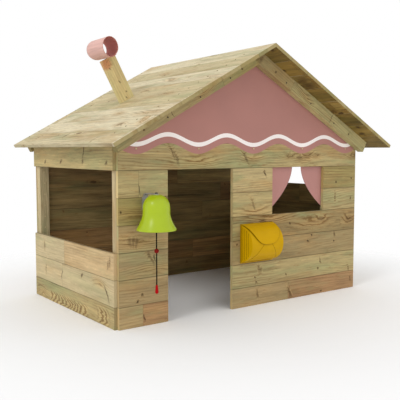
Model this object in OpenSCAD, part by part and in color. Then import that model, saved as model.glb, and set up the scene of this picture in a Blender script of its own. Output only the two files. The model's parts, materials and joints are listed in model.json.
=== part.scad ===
// Wooden garden playhouse with a doorway, an open counter, a curtained window,
// a board roof with a chimney, a bell with a pull cord and a letter box.
// Millimetres, +Z up, +Y to the back, origin on the ground under the plan centre.

/* [Walls] */
// Overall width over the side boards
house_w = 1824; // [1760:1:1900]
// Length of the side boards
house_d = 1036; // [960:1:1120]
// Thickness of the wall boards
board_t = 19; // [17:0.5:21]
// Height of one wall board with its joint
board_pitch = 140; // [134:1:146]
// Height of the ripped bottom board
base_board_h = 116; // [105:1:130]
// Open joint between two boards
board_gap = 0.6; // [0.4:0.1:1.5]
// Eased edge along the boards
board_ease = 1.5; // [0.5:0.1:2.5]

/* [Openings] */
// Width of the doorway
door_w = 441; // [420:1:460]
// Width of the window
window_w = 437.5; // [420:0.5:460]
// Share of the closed front that stands left of the doorway
left_share = 0.3284; // [0.31:0.0002:0.35]
// Share of the closed front that stands between doorway and window
middle_share = 0.3366; // [0.32:0.0002:0.36]

/* [Frame timbers] */
// Width of the posts along the front
post_w = 60; // [55:1:68]
// Depth of the posts
post_t = 45; // [40:1:50]
// Set-back of the posts beside an opening
post_setback = 40; // [36:1:48]
// Depth of the rafters, square to the slope
rafter_depth = 70; // [62:1:78]
// Thickness of the rafters
rafter_t = 45; // [40:1:50]
// Drop of the rafter foot below the top of the wall
rafter_drop = 48; // [40:1:56]
// Lap of the king post behind the top board
king_lap = 100; // [80:1:120]

/* [Roof] */
// Slope of the roof in degrees
roof_pitch = 28.7; // [26:0.1:31]
// Reach of the eaves past the side boards
eave_overhang = 106; // [95:1:120]
// Reach of the roof in front of the posts
front_overhang = 204; // [190:1:218]
// Thickness of the roof boards
roof_board_t = 19; // [17:0.5:21]
// Wanted width of a roof board
roof_board_w = 145; // [135:1:155]
// Open mitre along the ridge
ridge_gap = 0.6; // [0.4:0.1:1.5]

/* [Gable sheet and curtains] */
// Thickness of the coated sheet
sheet_t = 2; // [1.5:0.1:3]
// Inset of the gable sheet from the side walls
sheet_inset = 42; // [36:1:55]
// Lap of the gable sheet behind the rafters
sheet_lap = 40; // [30:1:48]
// Waves of the lower edge over the width of the house
wave_n = 4.63; // [4.5:0.01:4.9]
// Height of a wave above and below its middle
wave_amp = 29; // [22:1:34]
// Middle of the wave below the top of the wall
wave_drop = 28; // [22:1:32]
// Gap between the curtains at the window head
curtain_gap = 75; // [55:1:95]
// Height over which a curtain sweeps to the side
curtain_drop = 251; // [230:1:262]
// Lap of a curtain behind the boards
curtain_lap = 28; // [20:1:34]

/* [Chimney] */
// Distance of the chimney board from the eave, up the slope
chimney_s = 510; // [480:1:540]
// Front face of the chimney board behind the front posts
chimney_y = 522; // [490:1:560]
// Width of the chimney board
chimney_w = 102; // [95:1:112]
// Height of the chimney board above the roof
chimney_h = 267; // [240:1:290]
// Outer radius of the rolled chimney sheet
ring_r = 58; // [52:0.5:62]
// Length of the rolled chimney sheet along its axis
ring_l = 174; // [160:1:190]
// Lean of the roll's ends, which makes the roll longer towards the eave
ring_slant = 15.5; // [8:0.5:20]
// Place of the roll's axis up the slope from the board's middle
ring_off = 6; // [0:1:12]

/* [Bell] */
// Place of the bell across the boards left of the doorway
bell_share = 0.5316; // [0.49:0.0002:0.57]
// Gap between the rim and the boards
bell_clear = 7; // [6:0.5:12]
// Height of the bell rim above the ground
bell_rim_z = 516; // [500:1:530]
// Height of the bell
bell_h = 180; // [172:1:188]
// Radius of the rim
bell_rim_r = 101; // [97:0.5:103]
// Radius of the waist
bell_waist_r = 69.5; // [67:0.5:72]
// Height of the upright lip along the rim
bell_lip_h = 7; // [5:0.5:9]
// Height of the flare above the rim
bell_flare_h = 86; // [80:1:92]
// Height of the shoulder above the rim
bell_shoulder_h = 112; // [104:1:118]
// Wall of the bell
bell_wall = 4; // [3:0.5:5]
// Curve of the flare
bell_flare_pow = 1.6; // [1.45:0.05:1.9]
// Curve of the crown
bell_crown_pow = 2; // [1.8:0.05:2.2]
// Radius of the flat seat on the crown
bell_seat_r = 12; // [11:0.5:13]
// Width of the bracket's arm
arm_w = 26; // [23:1:30]
// Thickness of the bracket's steel
arm_t = 4; // [3:0.5:5]
// Outer radius of the bracket's bend
arm_bend_r = 22; // [18:1:26]
// Width of the bracket's wall plate
bracket_plate_w = 40; // [36:1:44]
// Height of the bracket's wall plate
bracket_plate_h = 88; // [80:1:96]
// Radius of the hanger bolt
bolt_r = 4; // [3.5:0.1:4.5]
// Height of the bolt's nut
nut_h = 6.5; // [5.5:0.1:7.5]
// Width of the nut across its flats
nut_af = 15; // [13:0.5:17]
// Radius of the clapper's hinge pin
clapper_pin_r = 2.5; // [2.2:0.1:2.8]
// Length of the clapper from its pin to its ball
clapper_l = 104; // [98:1:110]
// Radius of the clapper's ball
clapper_ball_r = 22; // [20:0.5:24]

/* [Pull cord] */
// Diameter of the pull cord
cord_d = 7; // [6:0.5:8]
// Height of the bead's middle above the ground
bead_z = 410; // [395:1:425]
// Radius of the bead
bead_r = 12; // [10:0.5:14]
// Height of the pull knob's foot above the ground
knob_z = 190; // [180:1:200]
// Length of the pull knob
knob_l = 46; // [42:1:50]
// Radius of the pull knob
knob_r = 9; // [8:0.5:10.5]

/* [Letter box] */
// Place of the letter box across the boards right of the doorway
mail_share = 0.5892; // [0.57:0.0001:0.61]
// Width of the letter box
mail_w = 246; // [236:1:254]
// Height of the letter box's middle above the ground
mail_z = 377.5; // [365:0.5:390]
// Outer radius of the lid
mail_r = 112.5; // [109:0.5:114]
// Reach of the back plate above and below the lid
mail_margin = 2; // [1:0.5:4]
// Thickness of the back plate
mail_plate_t = 8; // [6:0.5:10]
// Wall of the letter box
mail_wall = 3; // [2.5:0.1:3.5]
// Margin of the round body inside the plate's ends
mail_lip = 3; // [2:0.5:5]
// Thickness of the lid
lid_t = 4.4; // [4:0.1:5]
// Gap between the lid and the body
lid_gap = 1.4; // [1:0.1:2]
// Height of the lid's tip below the letter box's middle
lid_tip_drop = -2; // [-8:1:6]
// Power of the curve along the lid's edge
flap_pow = 3; // [2.4:0.1:3.6]
// Radius of the lid's hinge pin
hinge_pin_r = 2; // [1.8:0.1:2.2]
// Radius of the hinge knuckles
knuckle_r = 5; // [4.6:0.1:5.4]

/* [Screws] */
// Radius of a screw's shank
screw_r = 2.5; // [2:0.1:3]
// Radius of a screw's head
screw_head_r = 4.5; // [4:0.1:5.5]
// Height of a screw's head
screw_head_h = 2.2; // [1.6:0.1:3]
// Depth of a screw in the second piece
screw_bite = 12; // [9:0.5:14]
// Spacing of two screws in one board
screw_pair = 70; // [60:1:80]

/* [Hidden] */
$fn = 48;
// Board rows of each wall
wall_rows = 7;
counter_rows = 3;
sill_rows = 4;
slot_rows = 5;
running = 0.05;
free_gap = 0.5;
seat_gap = 0.15;
through = 1;

tan_p = tan(roof_pitch);
sin_p = sin(roof_pitch);
cos_p = cos(roof_pitch);
mid_x = house_w / 2;
face_y = -board_t;
back_y = house_d + board_t;
front_closed = house_w - 2 * board_t - door_w - window_w;
left_panel = front_closed * left_share;
middle_panel = front_closed * middle_share;
door_x = board_t + left_panel;
door_r = door_x + door_w;
window_x = door_r + middle_panel;
window_r = window_x + window_w;
wall_top = row_top(wall_rows - 1);
lintel_z = row_z(wall_rows - 1);
bell_x = board_t + left_panel * bell_share;
bell_y = face_y - bell_rim_r - bell_clear;
arm_z = bell_rim_z + bell_h;
roof_back = back_y + rafter_t;
plan_front = min(-front_overhang, bell_y - bell_rim_r, face_y - mail_r);
shift = [-mid_x, -(plan_front + roof_back) / 2, 0];

// Colours of the sub-parts
pine_light = [0.77, 0.70, 0.52];
pine_mid = [0.72, 0.63, 0.44];
pine_dark = [0.62, 0.53, 0.36];
sheet_pink = [0.72, 0.50, 0.48];
lime = [0.70, 0.82, 0.16];
yellow = [0.86, 0.66, 0.06];
red = [0.75, 0.10, 0.12];
steel = [0.66, 0.65, 0.64];
cord_dark = [0.16, 0.12, 0.10];

// Heights of the board rows
function row_z(k) = k <= 0 ? 0 : base_board_h + (k - 1) * board_pitch;
function row_top(k) = row_z(k + 1) - board_gap;
function row_mid(k) = (row_z(k) + row_top(k)) / 2;

// Heights of the rafter's lower edge and of the roof boards' underside
function rafter_low(x) = wall_top - rafter_drop + x * tan_p;
function roof_under(x) = rafter_low(x) + rafter_depth / cos_p;
rafter_cut = rafter_depth - seat_gap;
function rafter_top(x) = rafter_low(x) + rafter_cut / cos_p;

// A point s up the left slope and h above the underside of its boards
eave_x = -eave_overhang + roof_board_t * sin_p;
eave_z = roof_under(eave_x);
function slope_pt(s, h) = [eave_x + s * cos_p - h * sin_p, eave_z + s * sin_p + h * cos_p];
function slope_ridge(h) = (mid_x - ridge_gap / 2 - eave_x + h * sin_p) / cos_p;
roof_n = max(2, round(slope_ridge(roof_board_t) / roof_board_w));
roof_step = slope_ridge(roof_board_t) / roof_n;

// The same outline on the right half of the house
function flip_x(pts, right) = [for (p = pts) [right ? house_w - p[0] : p[0], p[1]]];
function arc_pts(c, r, a0, a1, n) = [for (i = [0:n]) c + r * [cos(a0 + (a1 - a0) * i / n), sin(a0 + (a1 - a0) * i / n)]];

// A rectangle with eased corners
function eased(w, h, e) = [
  [e, 0], [w - e, 0], [w, e], [w, h - e], [w - e, h], [e, h], [0, h - e], [0, e]
];

module placed(shade) {
  color(shade) translate(shift) children();
}

// An outline in X and Z, drawn out from y0 to y1
module along_y(y0, y1, pts) {
  translate([0, y1, 0]) rotate([90, 0, 0]) linear_extrude(y1 - y0) polygon(pts);
}

// An eased board along X, with its front face at y
module board_x(x0, x1, z0, z1, y) {
  translate([x0, y, z0])
    rotate([90, 0, 90])
      linear_extrude(x1 - x0) polygon(eased(board_t, z1 - z0, board_ease));
}

// An eased board along Y, with its left face at x
module board_y(y0, y1, z0, z1, x) {
  translate([x, y1, z0])
    rotate([90, 0, 0])
      linear_extrude(y1 - y0) polygon(eased(board_t, z1 - z0, board_ease));
}

// An eased post with its front face at y
module post(x, y, h) {
  translate([x, y, 0]) linear_extrude(h) polygon(eased(post_w, post_t, board_ease));
}

module box(x0, x1, y0, y1, z0, z1) {
  translate([x0, y0, z0]) cube([x1 - x0, y1 - y0, z1 - z0]);
}

// A round bar along X or Y
module rod_x(x0, x1, y, z, r) {
  translate([x0, y, z]) rotate([0, 90, 0]) cylinder(h = x1 - x0, r = r);
}

module rod_y(y0, y1, x, z, r) {
  translate([x, y1, z]) rotate([90, 0, 0]) cylinder(h = y1 - y0, r = r);
}

// A screw with its head above Z = 0
module screw(l) {
  cylinder(h = screw_head_h, r = screw_head_r);
  translate([0, 0, -l]) cylinder(h = l + through, r = screw_r);
}

// Screws that point to the back, the front, the left and the right
module screw_back(x, y, z, l) {
  translate([x, y, z]) rotate([90, 0, 0]) screw(l);
}

module screw_front(x, y, z, l) {
  translate([x, y, z]) rotate([-90, 0, 0]) screw(l);
}

module screw_left(x, y, z, l) {
  translate([x, y, z]) rotate([0, 90, 0]) screw(l);
}

module screw_right(x, y, z, l) {
  translate([x, y, z]) rotate([0, -90, 0]) screw(l);
}

// Posts
right_post_x = house_w - board_t - post_w;
back_post_y = house_d - post_t;
door_post_l = door_x - post_setback - post_w;
door_post_r = door_r + post_setback;
window_post_l = window_x - post_setback - post_w;
window_post_r = window_r + post_setback;

module post_front_left() {
  placed(pine_mid) post(board_t, 0, wall_top);
}

module post_front_right() {
  placed(pine_mid) post(right_post_x, 0, wall_top);
}

module post_back_left() {
  placed(pine_mid) post(board_t, back_post_y, wall_top);
}

module post_back_right() {
  placed(pine_mid) post(right_post_x, back_post_y, wall_top);
}

module door_post_left() {
  placed(pine_mid) post(door_post_l, 0, wall_top);
}

module door_post_right() {
  placed(pine_mid) post(door_post_r, 0, wall_top);
}

module window_post_left() {
  placed(pine_mid) post(window_post_l, 0, wall_top);
}

module window_post_right() {
  placed(pine_mid) post(window_post_r, 0, wall_top);
}

// A post under the ridge, its head cut to both slopes
module ridge_post(y0, y1, z0, top) {
  half = post_w / 2;
  along_y(y0, y1, [
    [mid_x - half, z0], [mid_x + half, z0], [mid_x + half, top - half * tan_p],
    [mid_x, top], [mid_x - half, top - half * tan_p]
  ]);
}

// The king post's leg stands between the posts of the doorway and the window
leg_clear = 5;
leg_l = max(mid_x - post_w / 2, door_post_r + post_w + leg_clear);
leg_r = min(mid_x + post_w / 2, window_post_l - leg_clear);

module post_back_middle() {
  placed(pine_mid) ridge_post(back_post_y, house_d, 0, roof_under(mid_x) - free_gap);
}

module king_post() {
  top = rafter_low(mid_x) - seat_gap / cos_p;
  placed(pine_mid) {
    ridge_post(face_y, face_y + rafter_t, wall_top, top);
    box(leg_l, leg_r, 0, face_y + rafter_t, wall_top - king_lap, wall_top + through);
  }
}

// Rafters
function rafter_pts() = [
  [0, rafter_low(0)],
  [-rafter_cut * sin_p, rafter_low(0) + rafter_cut * cos_p],
  [mid_x - ridge_gap / 2, rafter_top(mid_x - ridge_gap / 2)],
  [mid_x - ridge_gap / 2, rafter_low(mid_x - ridge_gap / 2)]
];

// The inner rafter stands on the wall with a level seat
function inner_rafter_pts() = [
  [rafter_drop / tan_p, wall_top],
  [board_t, wall_top],
  [board_t, rafter_top(board_t)],
  [mid_x - ridge_gap / 2, rafter_top(mid_x - ridge_gap / 2)],
  [mid_x - ridge_gap / 2, rafter_low(mid_x - ridge_gap / 2)]
];

rafter_y = face_y - sheet_t - rafter_t;

module rafter_front_left() {
  placed(pine_light) along_y(rafter_y, rafter_y + rafter_t, rafter_pts());
}

module rafter_front_right() {
  placed(pine_light) along_y(rafter_y, rafter_y + rafter_t, flip_x(rafter_pts(), true));
}

module rafter_inner_left() {
  placed(pine_mid) along_y(face_y, face_y + rafter_t, inner_rafter_pts());
}

module rafter_inner_right() {
  placed(pine_mid) along_y(face_y, face_y + rafter_t, flip_x(inner_rafter_pts(), true));
}

module rafter_back_left() {
  placed(pine_mid) along_y(back_y, back_y + rafter_t, rafter_pts());
}

module rafter_back_right() {
  placed(pine_mid) along_y(back_y, back_y + rafter_t, flip_x(rafter_pts(), true));
}

// Front boards
front_end = house_w - board_t;

module front_board(x0, x1, k) {
  placed(pine_mid) board_x(x0, x1, row_z(k), row_top(k), face_y);
}

module front_left_board_1() {
  front_board(board_t, door_x, 0);
}

module front_left_board_2() {
  front_board(board_t, door_x, 1);
}

module front_left_board_3() {
  front_board(board_t, door_x, 2);
}

module front_left_board_4() {
  front_board(board_t, door_x, 3);
}

module front_left_board_5() {
  front_board(board_t, door_x, 4);
}

module front_left_board_6() {
  front_board(board_t, door_x, 5);
}

module front_right_board_1() {
  front_board(door_r, front_end, 0);
}

module front_right_board_2() {
  front_board(door_r, front_end, 1);
}

module front_right_board_3() {
  front_board(door_r, front_end, 2);
}

module front_right_board_4() {
  front_board(door_r, front_end, 3);
}

module window_left_board_1() {
  front_board(door_r, window_x, 4);
}

module window_left_board_2() {
  front_board(door_r, window_x, 5);
}

module window_right_board_1() {
  front_board(window_r, front_end, 4);
}

module window_right_board_2() {
  front_board(window_r, front_end, 5);
}

module front_top_board() {
  front_board(board_t, front_end, 6);
}

// Side boards
module left_board(k) {
  placed(pine_light) board_y(0, house_d, row_z(k), row_top(k), 0);
}

module left_board_1() {
  left_board(0);
}

module left_board_2() {
  left_board(1);
}

module left_board_3() {
  left_board(2);
}

module left_top_board() {
  left_board(wall_rows - 1);
}

right_rows = [for (k = [0:wall_rows - 1]) if (k < slot_rows || k == wall_rows - 1) k];

module right_boards() {
  placed(pine_mid)
    for (k = right_rows)
      board_y(0, house_d, row_z(k), row_top(k), front_end);
}

// Back boards, the upper ones trimmed to the roof
gable_rows = ceil((roof_under(mid_x) - row_z(wall_rows)) / board_pitch);

module back_boards() {
  placed(pine_mid) {
    for (k = [0:wall_rows - 1])
      board_x(board_t, front_end, row_z(k), row_top(k), house_d);
    for (k = [wall_rows:wall_rows + gable_rows - 1])
      translate([0, back_y, 0])
        rotate([90, 0, 0])
          linear_extrude(board_t)
            intersection() {
              translate([board_t, row_z(k)]) square([front_end - board_t, board_pitch - board_gap]);
              polygon([
                [board_t, 0], [front_end, 0], [front_end, roof_under(board_t) - free_gap],
                [mid_x, roof_under(mid_x) - free_gap], [board_t, roof_under(board_t) - free_gap]
              ]);
            }
  }
}

// Roof boards along the house, the top one mitred at the ridge
function roof_board_pts(i) =
  let (s0 = i * roof_step, s1 = s0 + roof_step - board_gap, e = board_ease, t = roof_board_t)
  i < roof_n - 1
    ? [for (p = eased(s1 - s0, t, e)) slope_pt(s0 + p[0], p[1])]
    : [
        slope_pt(s0 + e, 0), slope_pt(slope_ridge(0), 0), slope_pt(slope_ridge(t), t),
        slope_pt(s0 + e, t), slope_pt(s0, t - e), slope_pt(s0, e)
      ];

module roof_slope(right) {
  for (i = [0:roof_n - 1])
    along_y(-front_overhang, roof_back, flip_x(roof_board_pts(i), right));
}

module roof_boards_left() {
  placed(pine_light) roof_slope(false);
}

module roof_boards_right() {
  placed(pine_light) roof_slope(true);
}

// Gable sheet with a wavy lower edge
wave_l = house_w / wave_n;
function wave_z(x) = wall_top - wave_drop - wave_amp * cos(360 * (x - mid_x) / wave_l);
sheet_end = house_w - sheet_inset;
wave_steps = 72;
function wave_x(i) = sheet_inset + (sheet_end - sheet_inset) * i / wave_steps;
function sheet_top(x) = rafter_low(x) + sheet_lap / cos_p;

module gable_sheet() {
  placed(sheet_pink)
    along_y(face_y - sheet_t, face_y, concat(
      [for (i = [0:wave_steps]) [wave_x(i), wave_z(wave_x(i))]],
      [[sheet_end, sheet_top(sheet_inset)], [mid_x, sheet_top(mid_x)], [sheet_inset, sheet_top(sheet_inset)]]
    ));
}

// Curtains, drawn to the sides of the window
curtain_pow = 1.8;
curtain_steps = 16;
curtain_head = lintel_z + curtain_lap;
function curtain_pts() =
  let (half = (window_w - curtain_gap) / 2, foot = lintel_z - curtain_drop)
  concat(
    [[window_x - curtain_lap, curtain_head], [window_x + half, curtain_head]],
    [for (i = [0:curtain_steps])
      [window_x + half * (1 - pow(i / curtain_steps, curtain_pow)),
       lintel_z - curtain_drop * i / curtain_steps]],
    [[window_x - curtain_lap, foot - curtain_lap * curtain_drop / (curtain_pow * half)]]
  );

module curtain_left() {
  placed(sheet_pink) along_y(0, sheet_t, curtain_pts());
}

module curtain_right() {
  placed(sheet_pink)
    along_y(0, sheet_t, [for (p = curtain_pts()) [window_x + window_r - p[0], p[1]]]);
}

// Chimney board, square to the left slope, and the sheet rolled on its head
ring_mid = chimney_s + chimney_w / 2 + ring_off;
ring_c = slope_pt(ring_mid, roof_board_t + chimney_h + running + ring_r);
ring_y = chimney_y + board_t / 2 - ring_l / 2;
ring_back = ring_y + ring_l;

// Plan of the roll, drawn to twice its radius on both sides of its axis
ring_plan = [
  [ring_c[0] - 2 * ring_r, ring_y - 2 * ring_slant],
  [ring_c[0] + 2 * ring_r, ring_y + 2 * ring_slant],
  [ring_c[0] + 2 * ring_r, ring_back - 2 * ring_slant],
  [ring_c[0] - 2 * ring_r, ring_back + 2 * ring_slant]
];

module chimney_board() {
  placed(pine_light)
    along_y(chimney_y, chimney_y + board_t, [
      slope_pt(chimney_s, roof_board_t + running),
      slope_pt(chimney_s + chimney_w, roof_board_t + running),
      slope_pt(chimney_s + chimney_w, roof_board_t + chimney_h),
      slope_pt(chimney_s, roof_board_t + chimney_h)
    ]);
}

module chimney_ring() {
  placed(sheet_pink)
    intersection() {
      difference() {
        rod_y(ring_y - ring_slant, ring_back + ring_slant, ring_c[0], ring_c[1], ring_r);
        rod_y(ring_y - 2 * ring_slant, ring_back + 2 * ring_slant, ring_c[0], ring_c[1], ring_r - sheet_t);
      }
      translate([0, 0, ring_c[1] - 2 * ring_r]) linear_extrude(4 * ring_r) polygon(ring_plan);
    }
}

// Bell bracket, a bent steel strip with a wall plate
bend_y = face_y - arm_bend_r;
bend_z = arm_z + arm_t - arm_bend_r;
plate_z = arm_z + arm_t - bracket_plate_h;
plate_screw_z = [plate_z + 2.5 * screw_head_r, plate_z + 6.5 * screw_head_r];

module bell_bracket() {
  placed(steel)
    difference() {
      union() {
        box(bell_x - bracket_plate_w / 2, bell_x + bracket_plate_w / 2, face_y - arm_t, face_y, plate_z, bend_z);
        intersection() {
          difference() {
            rod_x(bell_x - arm_w / 2, bell_x + arm_w / 2, bend_y, bend_z, arm_bend_r);
            rod_x(bell_x - arm_w, bell_x + arm_w, bend_y, bend_z, arm_bend_r - arm_t);
          }
          box(bell_x - arm_w, bell_x + arm_w, bend_y, face_y + through, bend_z, arm_z + arm_t + through);
        }
        box(bell_x - arm_w / 2, bell_x + arm_w / 2, bell_y, bend_y, arm_z, arm_z + arm_t);
        translate([bell_x, bell_y, arm_z]) cylinder(h = arm_t, r = arm_w / 2);
      }
      translate([bell_x, bell_y, arm_z - through]) cylinder(h = arm_t + 2 * through, r = bolt_r + running);
      for (z = plate_screw_z)
        rod_y(face_y - arm_t - through, face_y + through, bell_x, z, screw_r + running);
    }
}

// Bell, a moulded shell turned about its own axis
bell_steps = 12;
flare_rise = bell_flare_h - bell_lip_h;
crown_rise = bell_h - bell_shoulder_h;
function flare_r(f) = bell_waist_r + (bell_rim_r - bell_waist_r) * pow(1 - f, bell_flare_pow);
function crown_r(u, w) =
  bell_seat_r + (bell_waist_r - w - bell_seat_r) * pow(1 - pow(u, bell_crown_pow), 1 / bell_crown_pow);
function bell_side(w) = concat(
  [[bell_rim_r - w, 0]],
  [for (i = [0:bell_steps]) [flare_r(i / bell_steps) - w, bell_lip_h + flare_rise * i / bell_steps]],
  [for (i = [0:bell_steps]) let (u = sin(90 * i / bell_steps))
    [crown_r(u, w), bell_shoulder_h + (crown_rise - w) * u]]
);
bell_bore = bolt_r + running;

module bell_body() {
  outer = bell_side(0);
  inner = bell_side(bell_wall);
  n = len(inner);
  placed(lime)
    translate([bell_x, bell_y, bell_rim_z])
      rotate_extrude()
        polygon(concat(
          outer, [[bell_bore, bell_h], [bell_bore, bell_h - bell_wall]],
          [for (i = [0:n - 1]) inner[n - 1 - i]]
        ));
}

// Hanger bolt with its nut above the arm, a collar and a flat tongue inside the bell
collar_h = 2.5;
tongue_w = 10;
tongue_t = 6;
pivot_drop = 16;
crown_in = arm_z - bell_wall;
pivot_z = crown_in - collar_h - pivot_drop;
nut_pts = arc_pts([0, 0], nut_af / 2 / cos(30), 0, 300, 5);

module bell_bolt() {
  placed(steel)
    difference() {
      union() {
        translate([bell_x, bell_y, arm_z + arm_t]) linear_extrude(nut_h) polygon(nut_pts);
        translate([bell_x, bell_y, crown_in - collar_h / 2])
          cylinder(h = bell_wall + arm_t + nut_h + collar_h / 2 + through, r = bolt_r);
        translate([bell_x, bell_y, crown_in - collar_h]) cylinder(h = collar_h, r = bell_bore + tongue_w / 2);
        box(bell_x - tongue_w / 2, bell_x + tongue_w / 2, bell_y - tongue_t / 2, bell_y + tongue_t / 2,
            pivot_z, crown_in - collar_h / 2);
        rod_y(bell_y - tongue_t / 2, bell_y + tongue_t / 2, bell_x, pivot_z, tongue_w / 2);
      }
      rod_y(bell_y - tongue_t, bell_y + tongue_t, bell_x, pivot_z, clapper_pin_r + running);
    }
}

// Clapper with a fork around the tongue and a socket for the pull cord
ear_t = 3;
ear_r = 6;
ear_y = tongue_t / 2 + free_gap;
fork_drop = ear_r + 1.5;
rod_r = 4;
cord_r = cord_d / 2;
cord_socket = 12;
ball_z = pivot_z - clapper_l;
socket_r = cord_r + 0.15;

module clapper_ear(side) {
  y0 = side > 0 ? ear_y : -ear_y - ear_t;
  rod_y(bell_y + y0, bell_y + y0 + ear_t, bell_x, pivot_z, ear_r);
  box(bell_x - ear_r, bell_x + ear_r, bell_y + y0, bell_y + y0 + ear_t, pivot_z - fork_drop - ear_t, pivot_z);
}

module bell_clapper() {
  placed(pine_dark)
    difference() {
      union() {
        clapper_ear(1);
        clapper_ear(-1);
        box(bell_x - ear_r, bell_x + ear_r, bell_y - ear_y - ear_t, bell_y + ear_y + ear_t,
            pivot_z - fork_drop - ear_t, pivot_z - fork_drop);
        translate([bell_x, bell_y, ball_z]) cylinder(h = pivot_z - fork_drop - ear_t / 2 - ball_z, r = rod_r);
        translate([bell_x, bell_y, ball_z]) sphere(r = clapper_ball_r);
      }
      rod_y(bell_y - tongue_t * 2, bell_y + tongue_t * 2, bell_x, pivot_z, clapper_pin_r + running / 2);
      translate([bell_x, bell_y, ball_z - clapper_ball_r - through])
        cylinder(h = cord_socket + through, r = socket_r);
    }
}

module clapper_pin() {
  pin_half = ear_y + ear_t + free_gap;
  placed(steel) rod_y(bell_y - pin_half, bell_y + pin_half, bell_x, pivot_z, clapper_pin_r);
}

// Pull cord from the clapper's socket to the knob's socket
knob_socket = 18;
cord_top = ball_z - clapper_ball_r + cord_socket;
cord_end = knob_z + knob_l - knob_socket;
cord_rings = max(2, round((cord_top - cord_end) / (2.5 * cord_d)));
cord_sides = 10;
function cord_at(i) = [bell_x, bell_y, cord_top + (cord_end - cord_top) * i / cord_rings];
cord_points = [
  for (i = [0:cord_rings])
    for (k = [0:cord_sides - 1])
      cord_at(i) + cord_r * [cos(360 * k / cord_sides), sin(360 * k / cord_sides), 0]
];
function cord_vertex(i, k) = i * cord_sides + k % cord_sides;
cord_faces = concat(
  [[for (k = [0:cord_sides - 1]) cord_vertex(0, cord_sides - 1 - k)]],
  [for (i = [0:cord_rings - 1])
    for (k = [0:cord_sides - 1])
      [cord_vertex(i, k), cord_vertex(i, k + 1), cord_vertex(i + 1, k + 1), cord_vertex(i + 1, k)]],
  [[for (k = [0:cord_sides - 1]) cord_vertex(cord_rings, k)]]
);

module bell_pull_cord() {
  placed(cord_dark) polyhedron(points = cord_points, faces = cord_faces);
}

module bell_bead() {
  placed(red)
    difference() {
      translate([bell_x, bell_y, bead_z]) sphere(r = bead_r);
      translate([bell_x, bell_y, bead_z - 2 * bead_r]) cylinder(h = 4 * bead_r, r = socket_r);
    }
}

// Pull knob, a turned drop with a rounded foot
knob_neck = 0.62;
knob_steps = 8;

module knob_outline() {
  foot = knob_r;
  neck_z = knob_l - knob_r * knob_neck / 2;
  polygon(concat(
    [[0, 0]],
    arc_pts([0, foot], knob_r, -80, 0, knob_steps),
    [[knob_r * knob_neck, neck_z], [knob_r * knob_neck - board_ease / 2, knob_l], [0, knob_l]]
  ));
}

module bell_knob() {
  placed(red)
    translate([bell_x, bell_y, knob_z])
      difference() {
        rotate_extrude() knob_outline();
        translate([0, 0, knob_l - knob_socket]) cylinder(h = knob_socket + through, r = socket_r);
      }
}

// Letter box
mail_r_in = mail_r - lid_t - lid_gap;
mail_mid = door_r + middle_panel * mail_share;
mail_x = mail_mid - mail_w / 2;
mail_end = mail_x + mail_w;
mail_plate_h = 2 * (mail_r + mail_margin);
plate_y = face_y - mail_plate_t;
hinge_y = plate_y - knuckle_r - free_gap;
hinge_z = mail_z + mail_plate_h / 2 - knuckle_r;
lid_back = hinge_y - knuckle_r - free_gap;
knuckle_l = 26;
lid_knuckle_0 = mail_x + mail_lip + knuckle_l + free_gap;
lid_knuckle_1 = mail_end - mail_lip - knuckle_l - free_gap;
lid_half = mail_w / 2 - mail_lip;
lid_top = mail_z + mail_plate_h / 2;
lid_tip_z = mail_z - lid_tip_drop;

// Front view of the envelope flap, its lower edge curved from corner to corner
flap_steps = 12;
flap_h = lid_top - lid_tip_z;
function flap_half(z) = lid_half * pow((z - lid_tip_z) / flap_h, 1 / flap_pow);
flap_pts = [for (i = [-flap_steps:flap_steps])
  [mail_mid + lid_half * i / flap_steps, lid_tip_z + flap_h * pow(abs(i / flap_steps), flap_pow)]];

// Mouth of the letter box, under the lid
slot_low = mail_z + mail_r_in * 0.42;
slot_high = mail_z + mail_r_in * 0.86;
slot_margin = 18;
seam_start = 30;
seam_w = 3.5;
seam_depth = mail_wall / 2;
rib_n = 4;
rib_w = 4;
rib_pitch = 16;
rib_margin = 9;

// A slanting groove from the lid's tip to a lower corner
module mail_seam(side) {
  x0 = mail_mid + side * seam_start;
  x1 = mail_mid + side * (lid_half - slot_margin);
  z1 = mail_z - mail_r_in * 0.9;
  intersection() {
    along_y(face_y - mail_r, plate_y, [
      [x0, lid_tip_z + seam_w], [x1, z1 + seam_w], [x1, z1], [x0, lid_tip_z]
    ]);
    difference() {
      rod_x(mail_x, mail_end, face_y, mail_z, mail_r);
      rod_x(mail_x - through, mail_end + through, face_y, mail_z, mail_r_in - seam_depth);
    }
  }
}

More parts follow.
